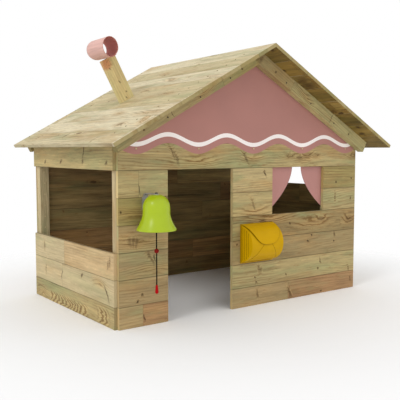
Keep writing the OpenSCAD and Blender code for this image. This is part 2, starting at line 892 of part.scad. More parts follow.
module mailbox_body() {
  x0 = mail_x + mail_lip;
  x1 = mail_end - mail_lip;
  placed(yellow)
    difference() {
      union() {
        box(mail_x, mail_end, plate_y, face_y, mail_z - mail_plate_h / 2, mail_z + mail_plate_h / 2);
        intersection() {
          rod_x(x0, x1, face_y, mail_z, mail_r_in);
          box(x0, x1, face_y - mail_r, plate_y + through, mail_z - mail_r, mail_z + mail_r);
        }
        for (x = [x0, x1 - knuckle_l]) {
          rod_x(x, x + knuckle_l, hinge_y, hinge_z, knuckle_r);
          box(x, x + knuckle_l, hinge_y, plate_y + through, hinge_z - knuckle_r, hinge_z);
        }
      }
      intersection() {
        rod_x(x0 + mail_wall, x1 - mail_wall, face_y, mail_z, mail_r_in - mail_wall);
        box(x0, x1, face_y - mail_r, plate_y, mail_z - mail_r, hinge_z - knuckle_r - mail_wall);
      }
      along_y(face_y - mail_r, hinge_y - knuckle_r - mail_wall, [
        [mail_mid - flap_half(slot_low) + slot_margin, slot_low],
        [mail_mid + flap_half(slot_low) - slot_margin, slot_low],
        [mail_mid + min(flap_half(slot_high), lid_half) - slot_margin, slot_high],
        [mail_mid - min(flap_half(slot_high), lid_half) + slot_margin, slot_high]
      ]);
      rod_x(x0 + knuckle_l, x1 - knuckle_l, hinge_y, hinge_z, knuckle_r + free_gap);
      rod_x(mail_x - through, mail_end + through, hinge_y, hinge_z, hinge_pin_r + running);
      mail_seam(1);
      mail_seam(-1);
      for (i = [1:rib_n])
        intersection() {
          for (x = [x0, x1])
            rod_x(x - seam_depth, x + seam_depth, face_y, mail_z, mail_r_in - rib_margin);
          translate([mail_x, plate_y - i * rib_pitch, mail_z - mail_r])
            cube([mail_w, rib_w, 2 * mail_r]);
        }
      for (x = mail_screw_x, z = mail_screw_z)
        rod_y(plate_y - through, face_y + through, x, z, screw_r + running);
    }
}

mail_screw_out = 0.3 * mail_w;
mail_screw_x = [mail_mid - mail_screw_out, mail_mid + mail_screw_out];
mail_screw_z = [mail_z - mail_r_in / 2, mail_z + mail_r_in / 2];

// Lid, the upper flap of the envelope, hinged along the back plate
module lid_shell() {
  difference() {
    rod_x(mail_x, mail_end, face_y, mail_z, mail_r);
    rod_x(mail_x - through, mail_end + through, face_y, mail_z, mail_r - lid_t);
  }
}

module mailbox_lid() {
  placed(yellow)
    difference() {
      union() {
        intersection() {
          lid_shell();
          along_y(face_y - mail_r - through, lid_back, flap_pts);
        }
        intersection() {
          lid_shell();
          box(lid_knuckle_0, lid_knuckle_1, lid_back - through, hinge_y, mail_z, mail_z + mail_r);
        }
        rod_x(lid_knuckle_0, lid_knuckle_1, hinge_y, hinge_z, knuckle_r);
      }
      rod_x(mail_x, mail_end, hinge_y, hinge_z, hinge_pin_r + running);
    }
}

module mailbox_hinge_pin() {
  placed(steel) rod_x(mail_x + mail_lip, mail_end - mail_lip, hinge_y, hinge_z, hinge_pin_r);
}

// Screws that join the boards to the posts, driven from inside
function pair_z(k) = [row_mid(k) - screw_pair / 2, row_mid(k) + screw_pair / 2];
frame_bite = post_t + screw_bite;
side_bite = post_w + screw_bite;
post_mid = post_w / 2;
left_rows = [for (k = [0:wall_rows - 1]) if (k < counter_rows || k == wall_rows - 1) k];

module front_joint(x, rows) {
  for (k = rows, z = pair_z(k))
    screw_front(x, post_t, z, frame_bite);
}

module frame_screws() {
  all_rows = [0:wall_rows - 1];
  placed(steel) {
    front_joint(board_t + post_mid, all_rows);
    front_joint(door_post_l + post_mid, all_rows);
    front_joint(door_post_r + post_mid, all_rows);
    front_joint(window_post_l + post_mid, [for (k = [0:wall_rows - 1]) if (k >= sill_rows - 1) k]);
    front_joint(window_post_r + post_mid, [for (k = [0:wall_rows - 1]) if (k >= sill_rows - 1) k]);
    front_joint(right_post_x + post_mid, all_rows);
    for (k = all_rows, x = [board_t + post_mid, mid_x, right_post_x + post_mid], z = pair_z(k))
      screw_back(x, back_post_y, z, frame_bite);
    for (k = left_rows, y = [post_t / 2, house_d - post_t / 2], z = pair_z(k))
      screw_left(board_t + post_w, y, z + screw_head_r * 2, side_bite);
    for (k = right_rows, y = [post_t / 2, house_d - post_t / 2], z = pair_z(k))
      screw_right(right_post_x, y, z + screw_head_r * 2, side_bite);
  }
}

// Screws in the roof: boards to rafters, and the front rafters to the inner ones
rafter_screw_x = [for (f = [0.315, 0.543, 0.768]) f * mid_x];
rafter_screw_up = 20;

module roof_line_screws(y) {
  for (i = [0:roof_n - 1], f = [0.25, 0.75]) {
    c = slope_pt((i + f) * roof_step, roof_board_t);
    for (right = [false, true])
      if (c[0] > -rafter_depth * sin_p + screw_head_r && c[0] < mid_x - rafter_depth)
        translate([right ? house_w - c[0] : c[0], y, c[1]])
          rotate([0, right ? roof_pitch : -roof_pitch, 0])
            screw(roof_board_t + 2 * screw_bite);
  }
}

module roof_screws() {
  placed(steel) {
    roof_line_screws(rafter_y + rafter_t / 2);
    roof_line_screws(back_y + rafter_t / 2);
    for (x = rafter_screw_x, right = [false, true])
      screw_back(right ? house_w - x : x, rafter_y, rafter_low(x) + rafter_screw_up / cos_p,
                 rafter_t + sheet_t + 2 * screw_bite);
  }
}

// Screws in the gable sheet, the curtains and the rolled chimney sheet
gable_screw_n = 2;
gable_screw_z = wall_top - wave_drop;
curtain_screw_x = [window_x + window_w / 8, window_x + window_w / 3];

module sheet_screws() {
  ring_seat = slope_pt(ring_mid, roof_board_t + chimney_h + sheet_t);
  placed(steel) {
    for (k = [-gable_screw_n:gable_screw_n])
      screw_back(mid_x + k * wave_l, face_y - sheet_t, gable_screw_z, sheet_t + screw_bite);
    for (x = curtain_screw_x, right = [false, true])
      screw_front(right ? window_x + window_r - x : x, sheet_t, lintel_z + curtain_lap / 2, sheet_t + screw_bite);
    translate([ring_seat[0], chimney_y + board_t / 2, ring_seat[1]])
      rotate([0, -roof_pitch, 0])
        screw(sheet_t + 3 * screw_bite);
  }
}

// Screws of the bell bracket and the letter box
module fitting_screws() {
  placed(steel) {
    for (z = plate_screw_z)
      screw_back(bell_x, face_y - arm_t, z, arm_t + screw_bite);
    for (x = mail_screw_x, z = mail_screw_z)
      screw_back(x, plate_y, z, mail_plate_t + screw_bite);
  }
}

post_front_left();
post_front_right();
post_back_left();
post_back_right();
post_back_middle();
door_post_left();
door_post_right();
window_post_left();
window_post_right();
king_post();
rafter_front_left();
rafter_front_right();
rafter_inner_left();
rafter_inner_right();
rafter_back_left();
rafter_back_right();
front_left_board_1();
front_left_board_2();
front_left_board_3();
front_left_board_4();
front_left_board_5();
front_left_board_6();
front_right_board_1();
front_right_board_2();
front_right_board_3();
front_right_board_4();
window_left_board_1();
window_left_board_2();
window_right_board_1();
window_right_board_2();
front_top_board();
left_board_1();
left_board_2();
left_board_3();
left_top_board();
right_boards();
back_boards();
roof_boards_left();
roof_boards_right();
gable_sheet();
curtain_left();
curtain_right();
chimney_board();
chimney_ring();
bell_bracket();
bell_body();
bell_bolt();
bell_clapper();
clapper_pin();
bell_pull_cord();
bell_bead();
bell_knob();
mailbox_body();
mailbox_lid();
mailbox_hinge_pin();
frame_screws();
roof_screws();
sheet_screws();
fitting_screws();
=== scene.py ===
"""Looks for a wooden garden playhouse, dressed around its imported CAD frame.

Metres, in the frame's own axes: +X along the front to the right, +Y to the back, +Z up.
"""

import json
import math
from functools import partial

import bmesh
import bpy
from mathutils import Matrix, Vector

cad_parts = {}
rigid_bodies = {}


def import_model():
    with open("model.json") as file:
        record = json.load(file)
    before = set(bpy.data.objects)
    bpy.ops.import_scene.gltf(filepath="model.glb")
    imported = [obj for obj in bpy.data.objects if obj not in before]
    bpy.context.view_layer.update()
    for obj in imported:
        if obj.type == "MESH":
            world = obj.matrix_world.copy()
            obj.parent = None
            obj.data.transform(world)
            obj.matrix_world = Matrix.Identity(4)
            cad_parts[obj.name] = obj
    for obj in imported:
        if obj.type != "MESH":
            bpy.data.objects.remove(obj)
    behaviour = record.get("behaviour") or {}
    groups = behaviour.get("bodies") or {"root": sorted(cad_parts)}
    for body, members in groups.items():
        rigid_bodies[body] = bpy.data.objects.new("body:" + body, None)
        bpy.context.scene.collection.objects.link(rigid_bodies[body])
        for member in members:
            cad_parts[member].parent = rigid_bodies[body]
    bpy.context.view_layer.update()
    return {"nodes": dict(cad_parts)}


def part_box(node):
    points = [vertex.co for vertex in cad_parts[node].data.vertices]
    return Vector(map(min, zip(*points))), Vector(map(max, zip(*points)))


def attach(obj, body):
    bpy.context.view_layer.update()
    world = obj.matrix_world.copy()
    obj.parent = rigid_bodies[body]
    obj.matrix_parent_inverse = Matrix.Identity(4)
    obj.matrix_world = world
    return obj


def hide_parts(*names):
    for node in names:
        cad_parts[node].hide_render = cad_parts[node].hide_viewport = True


bl_info = {
    "name": "Wooden garden playhouse",
    "version": (1, 0, 0),
    "blender": (4, 5, 0),
    "location": "3D View > Sidebar > Playhouse",
    "description": "Dresses the playhouse's frame with pine, coated sheet, plastic, cord and a stage",
    "category": "Object",
}

for leftover in list(bpy.data.objects):
    bpy.data.objects.remove(leftover)
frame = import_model()

# Places that the scene takes from the frame
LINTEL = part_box("front_top_board")[0].z
ROW_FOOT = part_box("front_right_board_2")[0].z
ROW_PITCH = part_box("front_right_board_3")[0].z - ROW_FOOT
ROWS = (ROW_FOOT - ROW_PITCH, ROW_PITCH)
SLOPE = math.radians(28.7)
SLOPE_UP = Vector((math.cos(SLOPE), 0, math.sin(SLOPE)))
SLOPE_OUT = Vector((-math.sin(SLOPE), 0, math.cos(SLOPE)))
ALONG_X, ALONG_Y, ALONG_Z = Vector((1, 0, 0)), Vector((0, 1, 0)), Vector((0, 0, 1))


def linear(hex_code):
    """The linear colour of an sRGB hex value."""
    parts = [int(hex_code[i:i + 2], 16) / 255 for i in (1, 3, 5)]
    return tuple(p / 12.92 if p <= 0.04045 else ((p + 0.055) / 1.055) ** 2.4 for p in parts) + (1.0,)


def flipped(axis):
    """The same direction on the right half of the house."""
    return Vector((-axis.x, axis.y, axis.z))


def span(node, axis):
    """Least and greatest reach of a CAD node along a direction."""
    piece = frame["nodes"][node]
    reach = [axis.dot(piece.matrix_world @ vert.co) for vert in piece.data.vertices]
    return min(reach), max(reach)


def colour_prop(name, hex_code, description):
    """A colour that a user may change."""
    return bpy.props.FloatVectorProperty(
        name=name, description=description, subtype="COLOR", size=4, min=0, max=1, default=linear(hex_code)
    )


def length_prop(name, metres, description):
    """A length that a user may change."""
    return bpy.props.FloatProperty(
        name=name, description=description, default=metres, min=0, subtype="DISTANCE", unit="LENGTH"
    )


class PlayhouseWood(bpy.types.PropertyGroup):
    """Tones and sizes of the pine."""

    pale: colour_prop("Pale pine", "#B09D6E", "Boards with much sapwood")
    light: colour_prop("Light pine", "#C3B189", "Palest boards of the walls")
    tan: colour_prop("Tan pine", "#A68F65", "Boards of the common tone")
    olive: colour_prop("Olive pine", "#A3925C", "Boards that took more of the green salt")
    fawn: colour_prop("Fawn pine", "#9F8A60", "Boards a little darker than the common tone")
    buff: colour_prop("Buff pine", "#BBA778", "Boards a little paler than the common tone")
    brown: colour_prop("Brown pine", "#A9855D", "Lengths with much heartwood")
    amber: colour_prop("Amber pine", "#C8AD81", "Lengths with much resin")
    bleached: colour_prop("Roof pine", "#CEBE94", "Roof boards, paler than the walls")
    chalk: colour_prop("Chalky pine", "#DACFB0", "Palest lengths of the roof")
    honey: colour_prop("Honey pine", "#C6B17B", "Boards under the left eave")
    dark: colour_prop("Dark pine", "#937F55", "Boards with much late wood")
    # The right rafters' upper lengths take a darker tone, which is painted shade of the roof overhang
    grey: colour_prop("Greyed pine", "#BCB07C", "Lower lengths of the right rafters")
    straw: colour_prop("Straw pine", "#D8CA92", "The chimney's board")
    late: colour_prop("Late wood", "#6F5228", "Dark part of a growth ring")
    knot: colour_prop("Knot", "#35200F", "Heart of a knot")
    green: colour_prop("Green salt", "#94996A", "Tint that the treatment leaves in patches")
    rust: colour_prop("Resin", "#B08C58", "Tint of resin and heartwood in patches")
    # Painted shade and pink light cast by the chimney roll on the head of its board, drawn as resin
    roll_shade: colour_prop("Flushed pine", "#C08058", "Resin at the head of the chimney's board")
    streak: colour_prop("Streak", "#8A6033", "Short streaks of resin along the grain")
    ring: length_prop("Ring spacing", 0.014, "Growth rings on a face, coarser than real so that they show")
    fibre: length_prop("Fibre spacing", 0.009, "Streaks of fibre along a board, coarser than real so that they show")


class PlayhouseSheet(bpy.types.PropertyGroup):
    """Coated sheet of the gable, the curtains and the chimney."""

    pink: colour_prop("Pink sheet", "#B37E74", "Coated side of the gable sheet")
    curtain: colour_prop("Curtain sheet", "#B9847C", "Curtains, a little paler than the gable")
    roll: colour_prop("Rolled sheet", "#DDB0A5", "Chimney roll")
    back: colour_prop("Back of the roll", "#CB8378", "Inside of the chimney roll")
    slant: length_prop("Roll slant", 0.0155, "Lean of the chimney roll's ends")
    stripe: colour_prop("Stripe", "#FFF6F1", "Printed wavy stripe")
    stripe_w: length_prop("Stripe width", 0.023, "Width of the printed stripe")
    stripe_rise: length_prop("Stripe rise", 0.048, "Stripe above the lower edge, at the wave's middle")
    thick: length_prop("Thickness", 0.0015, "Thickness of the coated sheet")
    weave: length_prop("Weave", 0.004, "Thread spacing under the coating, coarser than real so that it shows")


class PlayhouseFittings(bpy.types.PropertyGroup):
    """Bell, pull cord, letter box and metal."""

    lime: colour_prop("Bell", "#A8BE0C", "Moulded bell")
    yellow: colour_prop("Letter box", "#CC9F00", "Moulded letter box")
    red: colour_prop("Pull", "#A8060C", "Moulded pull knob")
    maroon: colour_prop("Bead", "#7C120C", "Moulded bead")
    cord: colour_prop("Cord", "#0B0807", "Twisted cord")
    steel: colour_prop("Bracket", "#A9A6A4", "Powder coated bracket")
    zinc: colour_prop("Fasteners", "#5A544B", "Galvanised screws, bolt and pins, dulled outdoors")
    passivated: colour_prop("Wood screws", "#CBB98B", "Yellow-passivated wood screws")
    black: colour_prop("Rafter screws", "#2A2018", "Blackened screws of the front rafters")
    hardwood: colour_prop("Clapper", "#8A6A3F", "Turned clapper")


class PlayhouseStage(bpy.types.PropertyGroup):
    """Camera and light."""

    camera_at: bpy.props.FloatVectorProperty(
        name="Camera", description="Place of the camera", subtype="TRANSLATION", size=3,
        default=(-2.4425, -3.2776, 0.920),
    )
    camera_down: bpy.props.FloatProperty(
        name="Tilt", description="How far the camera looks down", subtype="ANGLE", default=0.0783
    )
    camera_right: bpy.props.FloatProperty(
        name="Turn", description="How far the camera looks to the right", subtype="ANGLE", default=0.6301
    )
    camera_lens: bpy.props.FloatProperty(
        name="Lens", description="Focal length on a 36 mm sensor", default=57.42, min=1, unit="CAMERA"
    )
    ambient: bpy.props.FloatProperty(name="Ambient", description="Light of the white studio", default=0.88, min=0)
    key: bpy.props.FloatProperty(name="Key", description="Soft light from the left", default=0.55, min=0)
    fill: bpy.props.FloatProperty(name="Fill", description="Broad light from the front", default=0.15, min=0)
    floor: colour_prop("Floor", "#FFFFFF", "Pale studio floor")


def add_node(tree, kind, *values, out=None, named=None, **settings):
    """Adds a shader node, fills or links the inputs that it shows, and gives one output, as a rule its first.
    kind is the node's type, with the operation where it has one. named fills inputs by name."""
    kind, *operation = kind.split()
    node = tree.nodes.new("ShaderNode" + kind)
    for key, value in [*zip(("operation",), operation), *settings.items()]:
        setattr(node, key, value)
    inputs = [socket for socket in node.inputs if socket.enabled]
    for socket, value in [*zip(inputs, values), *((node.inputs[key], value) for key, value in (named or {}).items())]:
        if isinstance(value, bpy.types.NodeSocket):
            tree.links.new(value, socket)
        elif value is not None:
            socket.default_value = value
    if out:
        return node.outputs[out]
    return next((socket for socket in node.outputs if socket.enabled), None)


def new_material(name):
    """An empty node material, and the function that adds nodes to it."""
    material = bpy.data.materials.new(name)
    material.use_nodes = True
    material.node_tree.nodes.clear()
    return material, partial(add_node, material.node_tree)


def surface(add, colour, roughness, relief=None, **sockets):
    """Ends a material in one shader. relief is the strength, the height in metres and the pattern of its bumps."""
    named = {"Base Color": colour, "Roughness": roughness}
    if relief:
        named["Normal"] = add("Bump", named=dict(zip(("Strength", "Distance", "Height"), relief)))
    named.update({key.replace("_", " "): value for key, value in sockets.items()})
    add("OutputMaterial", add("BsdfPrincipled", named=named))


def dress(material, *nodes):
    """Gives CAD nodes a finished material."""
    for node in nodes:
        for slot in frame["nodes"][node].material_slots:
            slot.material = material


def new_object(bm, name, materials):
    """Turns a bmesh into an object at the origin."""
    mesh = bpy.data.meshes.new(name)
    bm.to_mesh(mesh)
    bm.free()
    for material in materials:
        mesh.materials.append(material)
    piece = bpy.data.objects.new(name, mesh)
    bpy.context.scene.collection.objects.link(piece)
    return piece


def keep_mesh(bm, name, materials, body):
    """Turns a bmesh into a piece that rides on a body."""
    piece = new_object(bm, name, materials)
    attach(piece, body)
    return piece


def smooth_faces(bm):
    """Shades a curved shell smooth."""
    for face in bm.faces:
        face.smooth = True


# Knots: half width along the grain, half height across it, lean, depth of tone, reach and strength of the bent grain
KNOTS = {
    "pin": (0.008, 0.0088, 0.1, 0.95, 2.1, 0.4),
    "mark": (0.014, 0.015, 0.3, 0.8, 1.7, 0.4),
    "spike": (0.0064, 0.022, 0.15, 0.9, 1.9, 0.35),
    "check": (0.0036, 0.036, 0.25, 0.9, 1.5, 0.0),
    "crack": (0.0085, 0.05, 0.2, 0.8, 1.4, 0.2),
    "smear": (0.011, 0.03, 0.15, 0.52, 1.8, 0.5),
    "stroke": (0.011, 0.044, 0.45, 0.55, 2.6, 0.55),
    "rift": (0.0085, 0.052, -0.5, 0.8, 1.5, 0.4),
    "ember": (0.04, 0.03, 0.2, 0.4, 1.8, 0.8),
    "wedge": (0.05, 0.015, 0.0, 0.3, 2.0, 0.95),
    "boss": (0.02, 0.017, 0.2, 0.95, 1.8, 0.7),
    "swirl": (0.03, 0.015, 0.2, 0.6, 2.9, 0.9),
    "whorl": (0.04, 0.026, -0.5, 0.4, 2.3, 1.0),
    "eye": (0.05, 0.02, -0.7, 0.0, 2.2, 0.9),
    "flame": (0.13, 0.026, 0.0, 0.0, 1.9, 0.9),
    "blush": (0.034, 0.03, 0.0, 0.0, 1.4, 1.6),
    "tick": (0.009, 0.0055, 0.9, 0.75, 1.6, 0.2),
}
# Over which shares of its half width a knot's heart fades
KNOT_EDGE = (0.4, 1.2)
# Noises that fray the knots' outlines: repeats in a metre, and reach along and across the grain
FRAY = ((70.0, (0.008, 0.008, 0.0)), (13.0, (0.05, 0.02, 0.0)))
# Loose knots: the cell that may hold one, its shift from length to length, least and greatest size
LOOSE_CELL, LOOSE_SHIFT, LOOSE_SIZE = Vector((0.30, 0.115, 0.0)), (3.7, 5.1, 7.3), (0.0002, 0.0105)
# Repeats in a metre, along the grain and across it
FIBRE_ALONG, BANDS, PATCHES, STREAKS = 6.0, (2.2, 27.0), (1.9, 7.5), (17.0, 85.0)
# The tree's heart: its turns in a metre, reach across the board, least depth behind the face and spread of depth
HEART_TURNS, HEART_REACH, HEART_DEPTH, HEART_MORE = 0.8, 0.2, 0.012, 0.04
# Where late wood begins in a ring, and where it is darkest
LATE_FROM, LATE_PEAK = 0.4, 0.85
# Spacing of bowed rings, and the length over which they fade in and out
BOW_PITCH, BOW_FADE = 0.046, 0.03
# Half widths of the dark lines where lengths meet and where boards meet, and of their darkest part
BUTT_W, SEAM_W, GAP_W = 0.003, 0.004, 0.001
# Where most values of a noise lie, and the cosines between which a face comes to count as looking a given way
NOISE, FACING = (0.3, 0.7), (0.6, 0.9)
WHITE = (1, 1, 1, 1)


def pine(name, axes, tone, seed, rows=(-2.0, 4.0), mate=None, split=-9.0, blend=0.0004, knots=(), loose=0.0,
         length=20.0, joint=0.3, grain=1.0, face=0.0, ends=(1, 1, 1), inner=None, shade=(1.06, 0.96, 0.8),
         crescents=(), rust=None, flush=0.6, bands=1.0):
    """Planed, pressure-treated pine: growth rings, fibre, knots, green and resin patches, lengths joined end to end.

    axes are the directions along the grain, across it and through it, rows the foot of the first board and the pitch.
    tone changes to mate at split, within blend, or from length to length where knots are loose.
    grain, bands and joint are strengths, and ends tints the end grain.
    knots are placed, while loose is the share of cells that hold a seeded one, and flush the resin round a knot.
    face is where the outer face lies along the last axis, and inner the way that the inner face looks, rough-cut and
    darkened by painted shade, which shade tints.
    crescents are the start, end, level and half height of bowed rings. rust is the resin's tint, if not the common one.
    """
    wood = bpy.context.scene.playhouse_wood
    material, add = new_material(name)
    coord = add("TexCoord", out="Object")
    facing = coord.node.outputs["Normal"]
    u, v, w = [add("VectorMath DOT_PRODUCT", coord, axis) for axis in axes]
    board = add("CombineXYZ", u, v, w)
    first, pitch = rows

    # Which board, and which length of it
    raised = add("Math SUBTRACT", v, first)
    row = add("Math FLOOR", add("Math DIVIDE", raised, pitch))
    across = add("Math SUBTRACT", raised, add("Math MULTIPLY_ADD", row, pitch, pitch / 2))
    lengths = add("Math MULTIPLY_ADD", u, 1 / length, -split / length)
    if loose:
        stagger = add("TexWhiteNoise", add("CombineXYZ", row, seed, 0.5))
        lengths = add("Math ADD", lengths, stagger)
    part = add("Math FLOOR", lengths)
    part_id = add("CombineXYZ", row, part, seed)
    luck = add("TexWhiteNoise", part_id, out="Color")
    luck_a, luck_b, luck_c = add("SeparateXYZ", luck).node.outputs

    # Fibre, bands, patches and streaks, all drawn out along the grain
    drawn = []
    for along, over in ((FIBRE_ALONG, 1 / wood.fibre), BANDS, PATCHES, STREAKS):
        at = add("VectorMath MULTIPLY_ADD", board, (along, over, over), part_id)
        noise = add("TexNoise", at, 1.0, 4.0, 0.65, out="Color")
        drawn.append(add("SeparateXYZ", noise).node.outputs)
    (fibre, flecks, _), (band, sweep, _), (salt, resin, shows), (streak, bleach, _) = drawn

    # Knots that are placed, and loose ones, of which most cells hold none
    knot_at = board
    for scale, reach in FRAY:
        stray = add("TexNoise", board, scale, 1.0, out="Color")
        stray = add("VectorMath SUBTRACT", stray, (0.5, 0.5, 0.5))
        knot_at = add("VectorMath MULTIPLY_ADD", stray, reach, knot_at)
    heart, halo = 0.0, 0.0
    for along, up, kind in knots:
        wide, tall, lean, depth, reach, bend = KNOTS[kind]
        off = add("VectorMath SUBTRACT", knot_at, (along, up, 0.0))
        off_u = add("VectorMath DOT_PRODUCT", off, (1 / wide, lean / wide, 0.0))
        off_v = add("VectorMath DOT_PRODUCT", off, (0.0, 1 / tall, 0.0))
        far = add("VectorMath LENGTH", add("CombineXYZ", off_u, off_v, 0.0))
        heart = add("Math MAXIMUM", heart, add("MapRange", far, *KNOT_EDGE, depth, 0.0))
        halo = add("Math MAXIMUM", halo, add("MapRange", far, 0.2, reach, bend, 0.0))
    if loose:
        cell = LOOSE_CELL
        shift = add("VectorMath MULTIPLY", part_id, LOOSE_SHIFT)
        cell_at = add("VectorMath MULTIPLY_ADD", knot_at, (1 / cell.x, 1 / cell.y, 0.0), shift)
        found = add("TexVoronoi", named={"Vector": cell_at, "Scale": 1.0, "Randomness": 0.9},
                    voronoi_dimensions="2D").node.outputs
        chance, kind, _ = add("SeparateXYZ", found["Color"]).node.outputs
        off = add("VectorMath SUBTRACT", cell_at, found["Position"])
        slim = add("MapRange", kind, 0.4, 0.6, 1.7, 0.35)
        off = add("VectorMath MULTIPLY", off, add("CombineXYZ", slim, 1.0, 0.0))
        far = add("VectorMath LENGTH", add("VectorMath MULTIPLY", off, cell))
        far = add("Math DIVIDE", far, add("MapRange", chance, 1 - loose, 1.0, *LOOSE_SIZE))
        heart = add("Math MAXIMUM", heart, add("MapRange", far, *KNOT_EDGE, 0.7, 0.0))
        halo = add("Math MAXIMUM", halo, add("MapRange", far, 0.3, 2.6, 1.0, 0.0))
    heart = add("Math MULTIPLY", heart, add("MapRange", flecks, 0.3, 0.6, 0.55, 1.0))
    near = add("Math MINIMUM", halo, 1.0)

    # Growth rings around a heart that wanders slowly along the board, bent round the knots
    walk_at = add("CombineXYZ", add("Math MULTIPLY", u, HEART_TURNS), row, luck_a)
    walk = add("TexNoise", walk_at, 1.0, 1.0)
    heart_v = add("Math SUBTRACT", add("Math ADD", luck_a, walk), 1.0)
    from_v = add("Math MULTIPLY_ADD", heart_v, -HEART_REACH, across)
    deep = add("Math ABSOLUTE", add("Math SUBTRACT", w, face))
    from_w = add("Math MULTIPLY_ADD", luck_b, HEART_MORE, add("Math ADD", deep, HEART_DEPTH))
    radius = add("VectorMath LENGTH", add("CombineXYZ", from_v, from_w, 0.0))
    turns = add("Math MULTIPLY_ADD", radius, 1 / wood.ring, add("Math MULTIPLY", sweep, 2.0))
    turns = add("Math MULTIPLY_ADD", halo, 2.0, turns)
    phase = add("Math FRACT", turns)
    late_up = add("MapRange", phase, LATE_FROM, LATE_PEAK, interpolation_type="SMOOTHSTEP")
    late = add("Math MULTIPLY", late_up, add("MapRange", phase, LATE_PEAK, 1.0, 1.0, 0.0))

    # Crescents, where the saw met the rings almost square
    bows = 0.0
    for begin, end, level, tall in crescents:
        bow = add("Math DIVIDE", add("Math SUBTRACT", v, level), tall)
        at = add("Math MULTIPLY_ADD", sweep, 2.2, add("Math MULTIPLY", u, 1 / BOW_PITCH))
        at = add("Math ADD", at, add("Math MULTIPLY", resin, 5.0))
        at = add("Math SUBTRACT", at, add("Math MULTIPLY", bow, bow))
        arc = add("Math PINGPONG", at, 0.5)
        arc = add("MapRange", arc, 0.13, 0.33, 1.0, 0.0, interpolation_type="SMOOTHSTEP")
        here = add("MapRange", add("Math ABSOLUTE", bow), 0.75, 1.25, 1.0, 0.0)
        for limit, before, after in ((begin, 0.0, 1.0), (end, 1.0, 0.0)):
            fade = add("MapRange", u, limit - BOW_FADE, limit + BOW_FADE, before, after)
            here = add("Math MULTIPLY", here, fade)
        late = add("Mix", here, late, arc)
        bows = add("Math MAXIMUM", bows, here)

    # Colour: tone of the length, then salt, resin, late wood and streaks, of which end grain shows little
    end_on = add("Math ABSOLUTE", add("VectorMath DOT_PRODUCT", facing, axes[0]))
    end_on = add("MapRange", end_on, *FACING)
    past = add("MapRange", u, split - blend, split + blend)
    if loose:
        past = add("MapRange", luck_c, 0.3, 0.8, 0.0, 0.75)
    colour = add("Mix", past, tone, mate or tone, data_type="RGBA")
    salt = add("MapRange", salt, 0.46, 0.68, 0.0, 0.52 * grain, interpolation_type="SMOOTHSTEP")
    resin = add("MapRange", resin, 0.5, 0.7, 0.0, 0.5 * grain, interpolation_type="SMOOTHSTEP")
    resin = add("Math MAXIMUM", resin, add("Math MULTIPLY", near, flush))
    rings = add("Math MULTIPLY_ADD", near, 0.76, add("MapRange", shows, 0.42, 0.62, 0.05, 0.45))
    rings = add("Math MAXIMUM", rings, add("Math MULTIPLY", bows, 0.68))
    for share in (add("MapRange", end_on, 0.0, 1.0, 1.0, 0.2), late, grain):
        rings = add("Math MULTIPLY", rings, share)
    streak = add("MapRange", streak, 0.59, 0.7, 0.0, 0.42 * grain)
    streak = add("Math MULTIPLY", streak, add("Math SUBTRACT", 1.0, end_on))
    tints = ((salt, wood.green), (resin, rust or wood.rust), (rings, wood.late), (streak, wood.streak))
    for share, tint in tints:
        colour = add("Mix", share, colour, tint, data_type="RGBA")

    # Light and dark: luck of the length, fibre, bands, bleached spots, thin dark flecks, paler wood round knots
    lift = add("Math MULTIPLY_ADD", bows, 0.2, add("Math MULTIPLY_ADD", near, 0.12, 1.0))
    ranges = (
        (luck_c, 0.0, 1.0, 0.95, 1.07),
        (fibre, *NOISE, 1 - 0.145 * grain, 1 + 0.145 * grain),
        (band, *NOISE, 1 - 0.14 * bands, 1 + 0.17 * bands),
        (bleach, 0.56, 0.7, 1.0, 1.14),
        (flecks, 0.58, 0.72, 1.0, 1 - 0.28 * grain),
    )
    for values in ranges:
        lift = add("Math MULTIPLY", lift, add("MapRange", *values))

    # End grain hides these, and ends of lengths and edges of boards are darker. Inner faces are darker as well: a
    # rougher tone with painted shade, standing in for the shade inside the house and under the eaves
    lift = add("Mix", end_on, lift, 1.0)
    cut = add("Mix", end_on, WHITE, (*ends, 1), data_type="RGBA")
    colour = add("VectorMath MULTIPLY", colour, cut)
    from_mid = add("Math SUBTRACT", add("Math SUBTRACT", lengths, part), 0.5)
    from_mid = add("Math MULTIPLY", add("Math ABSOLUTE", from_mid), length)
    lines = ((from_mid, length / 2, BUTT_W, 0.8), (add("Math ABSOLUTE", across), pitch / 2, SEAM_W, 1 - joint))
    for at, edge, wide, left in lines:
        line = add("MapRange", at, edge - wide, edge - GAP_W, 1.0, left)
        lift = add("Math MULTIPLY", lift, line)
    # Painted shade: inner faces are darkened and tinted as where the house and its eaves shade them, over a rougher
    # tone
    if inner is not None:
        inner_shaded = add("MapRange", add("VectorMath DOT_PRODUCT", facing, inner), *FACING)
        rough_and_shaded = add("MapRange", band, *NOISE, 0.46, 0.82)
        rough_and_shaded = add("Math MULTIPLY", rough_and_shaded, add("MapRange", luck_b, 0.0, 1.0, 0.78, 1.24))
        lift = add("Math MULTIPLY", lift, add("Mix", inner_shaded, 1.0, rough_and_shaded))
        shade_tint = add("Mix", inner_shaded, WHITE, (*shade, 1), data_type="RGBA")
        colour = add("VectorMath MULTIPLY", colour, shade_tint)
    colour = add("VectorMath MULTIPLY", colour, lift)
    colour = add("Mix", heart, colour, wood.knot, data_type="RGBA")

    # Planed pine is dull, and its late wood stands a little proud
    relief = add("Math MULTIPLY_ADD", late, 0.6, add("Math MULTIPLY", fibre, 0.5))
    dull = add("MapRange", late, 0.0, 1.0, 0.74, 0.62)
    surface(add, colour, dull, (0.35, 0.0004, relief), Specular_IOR_Level=0.25)
    return material


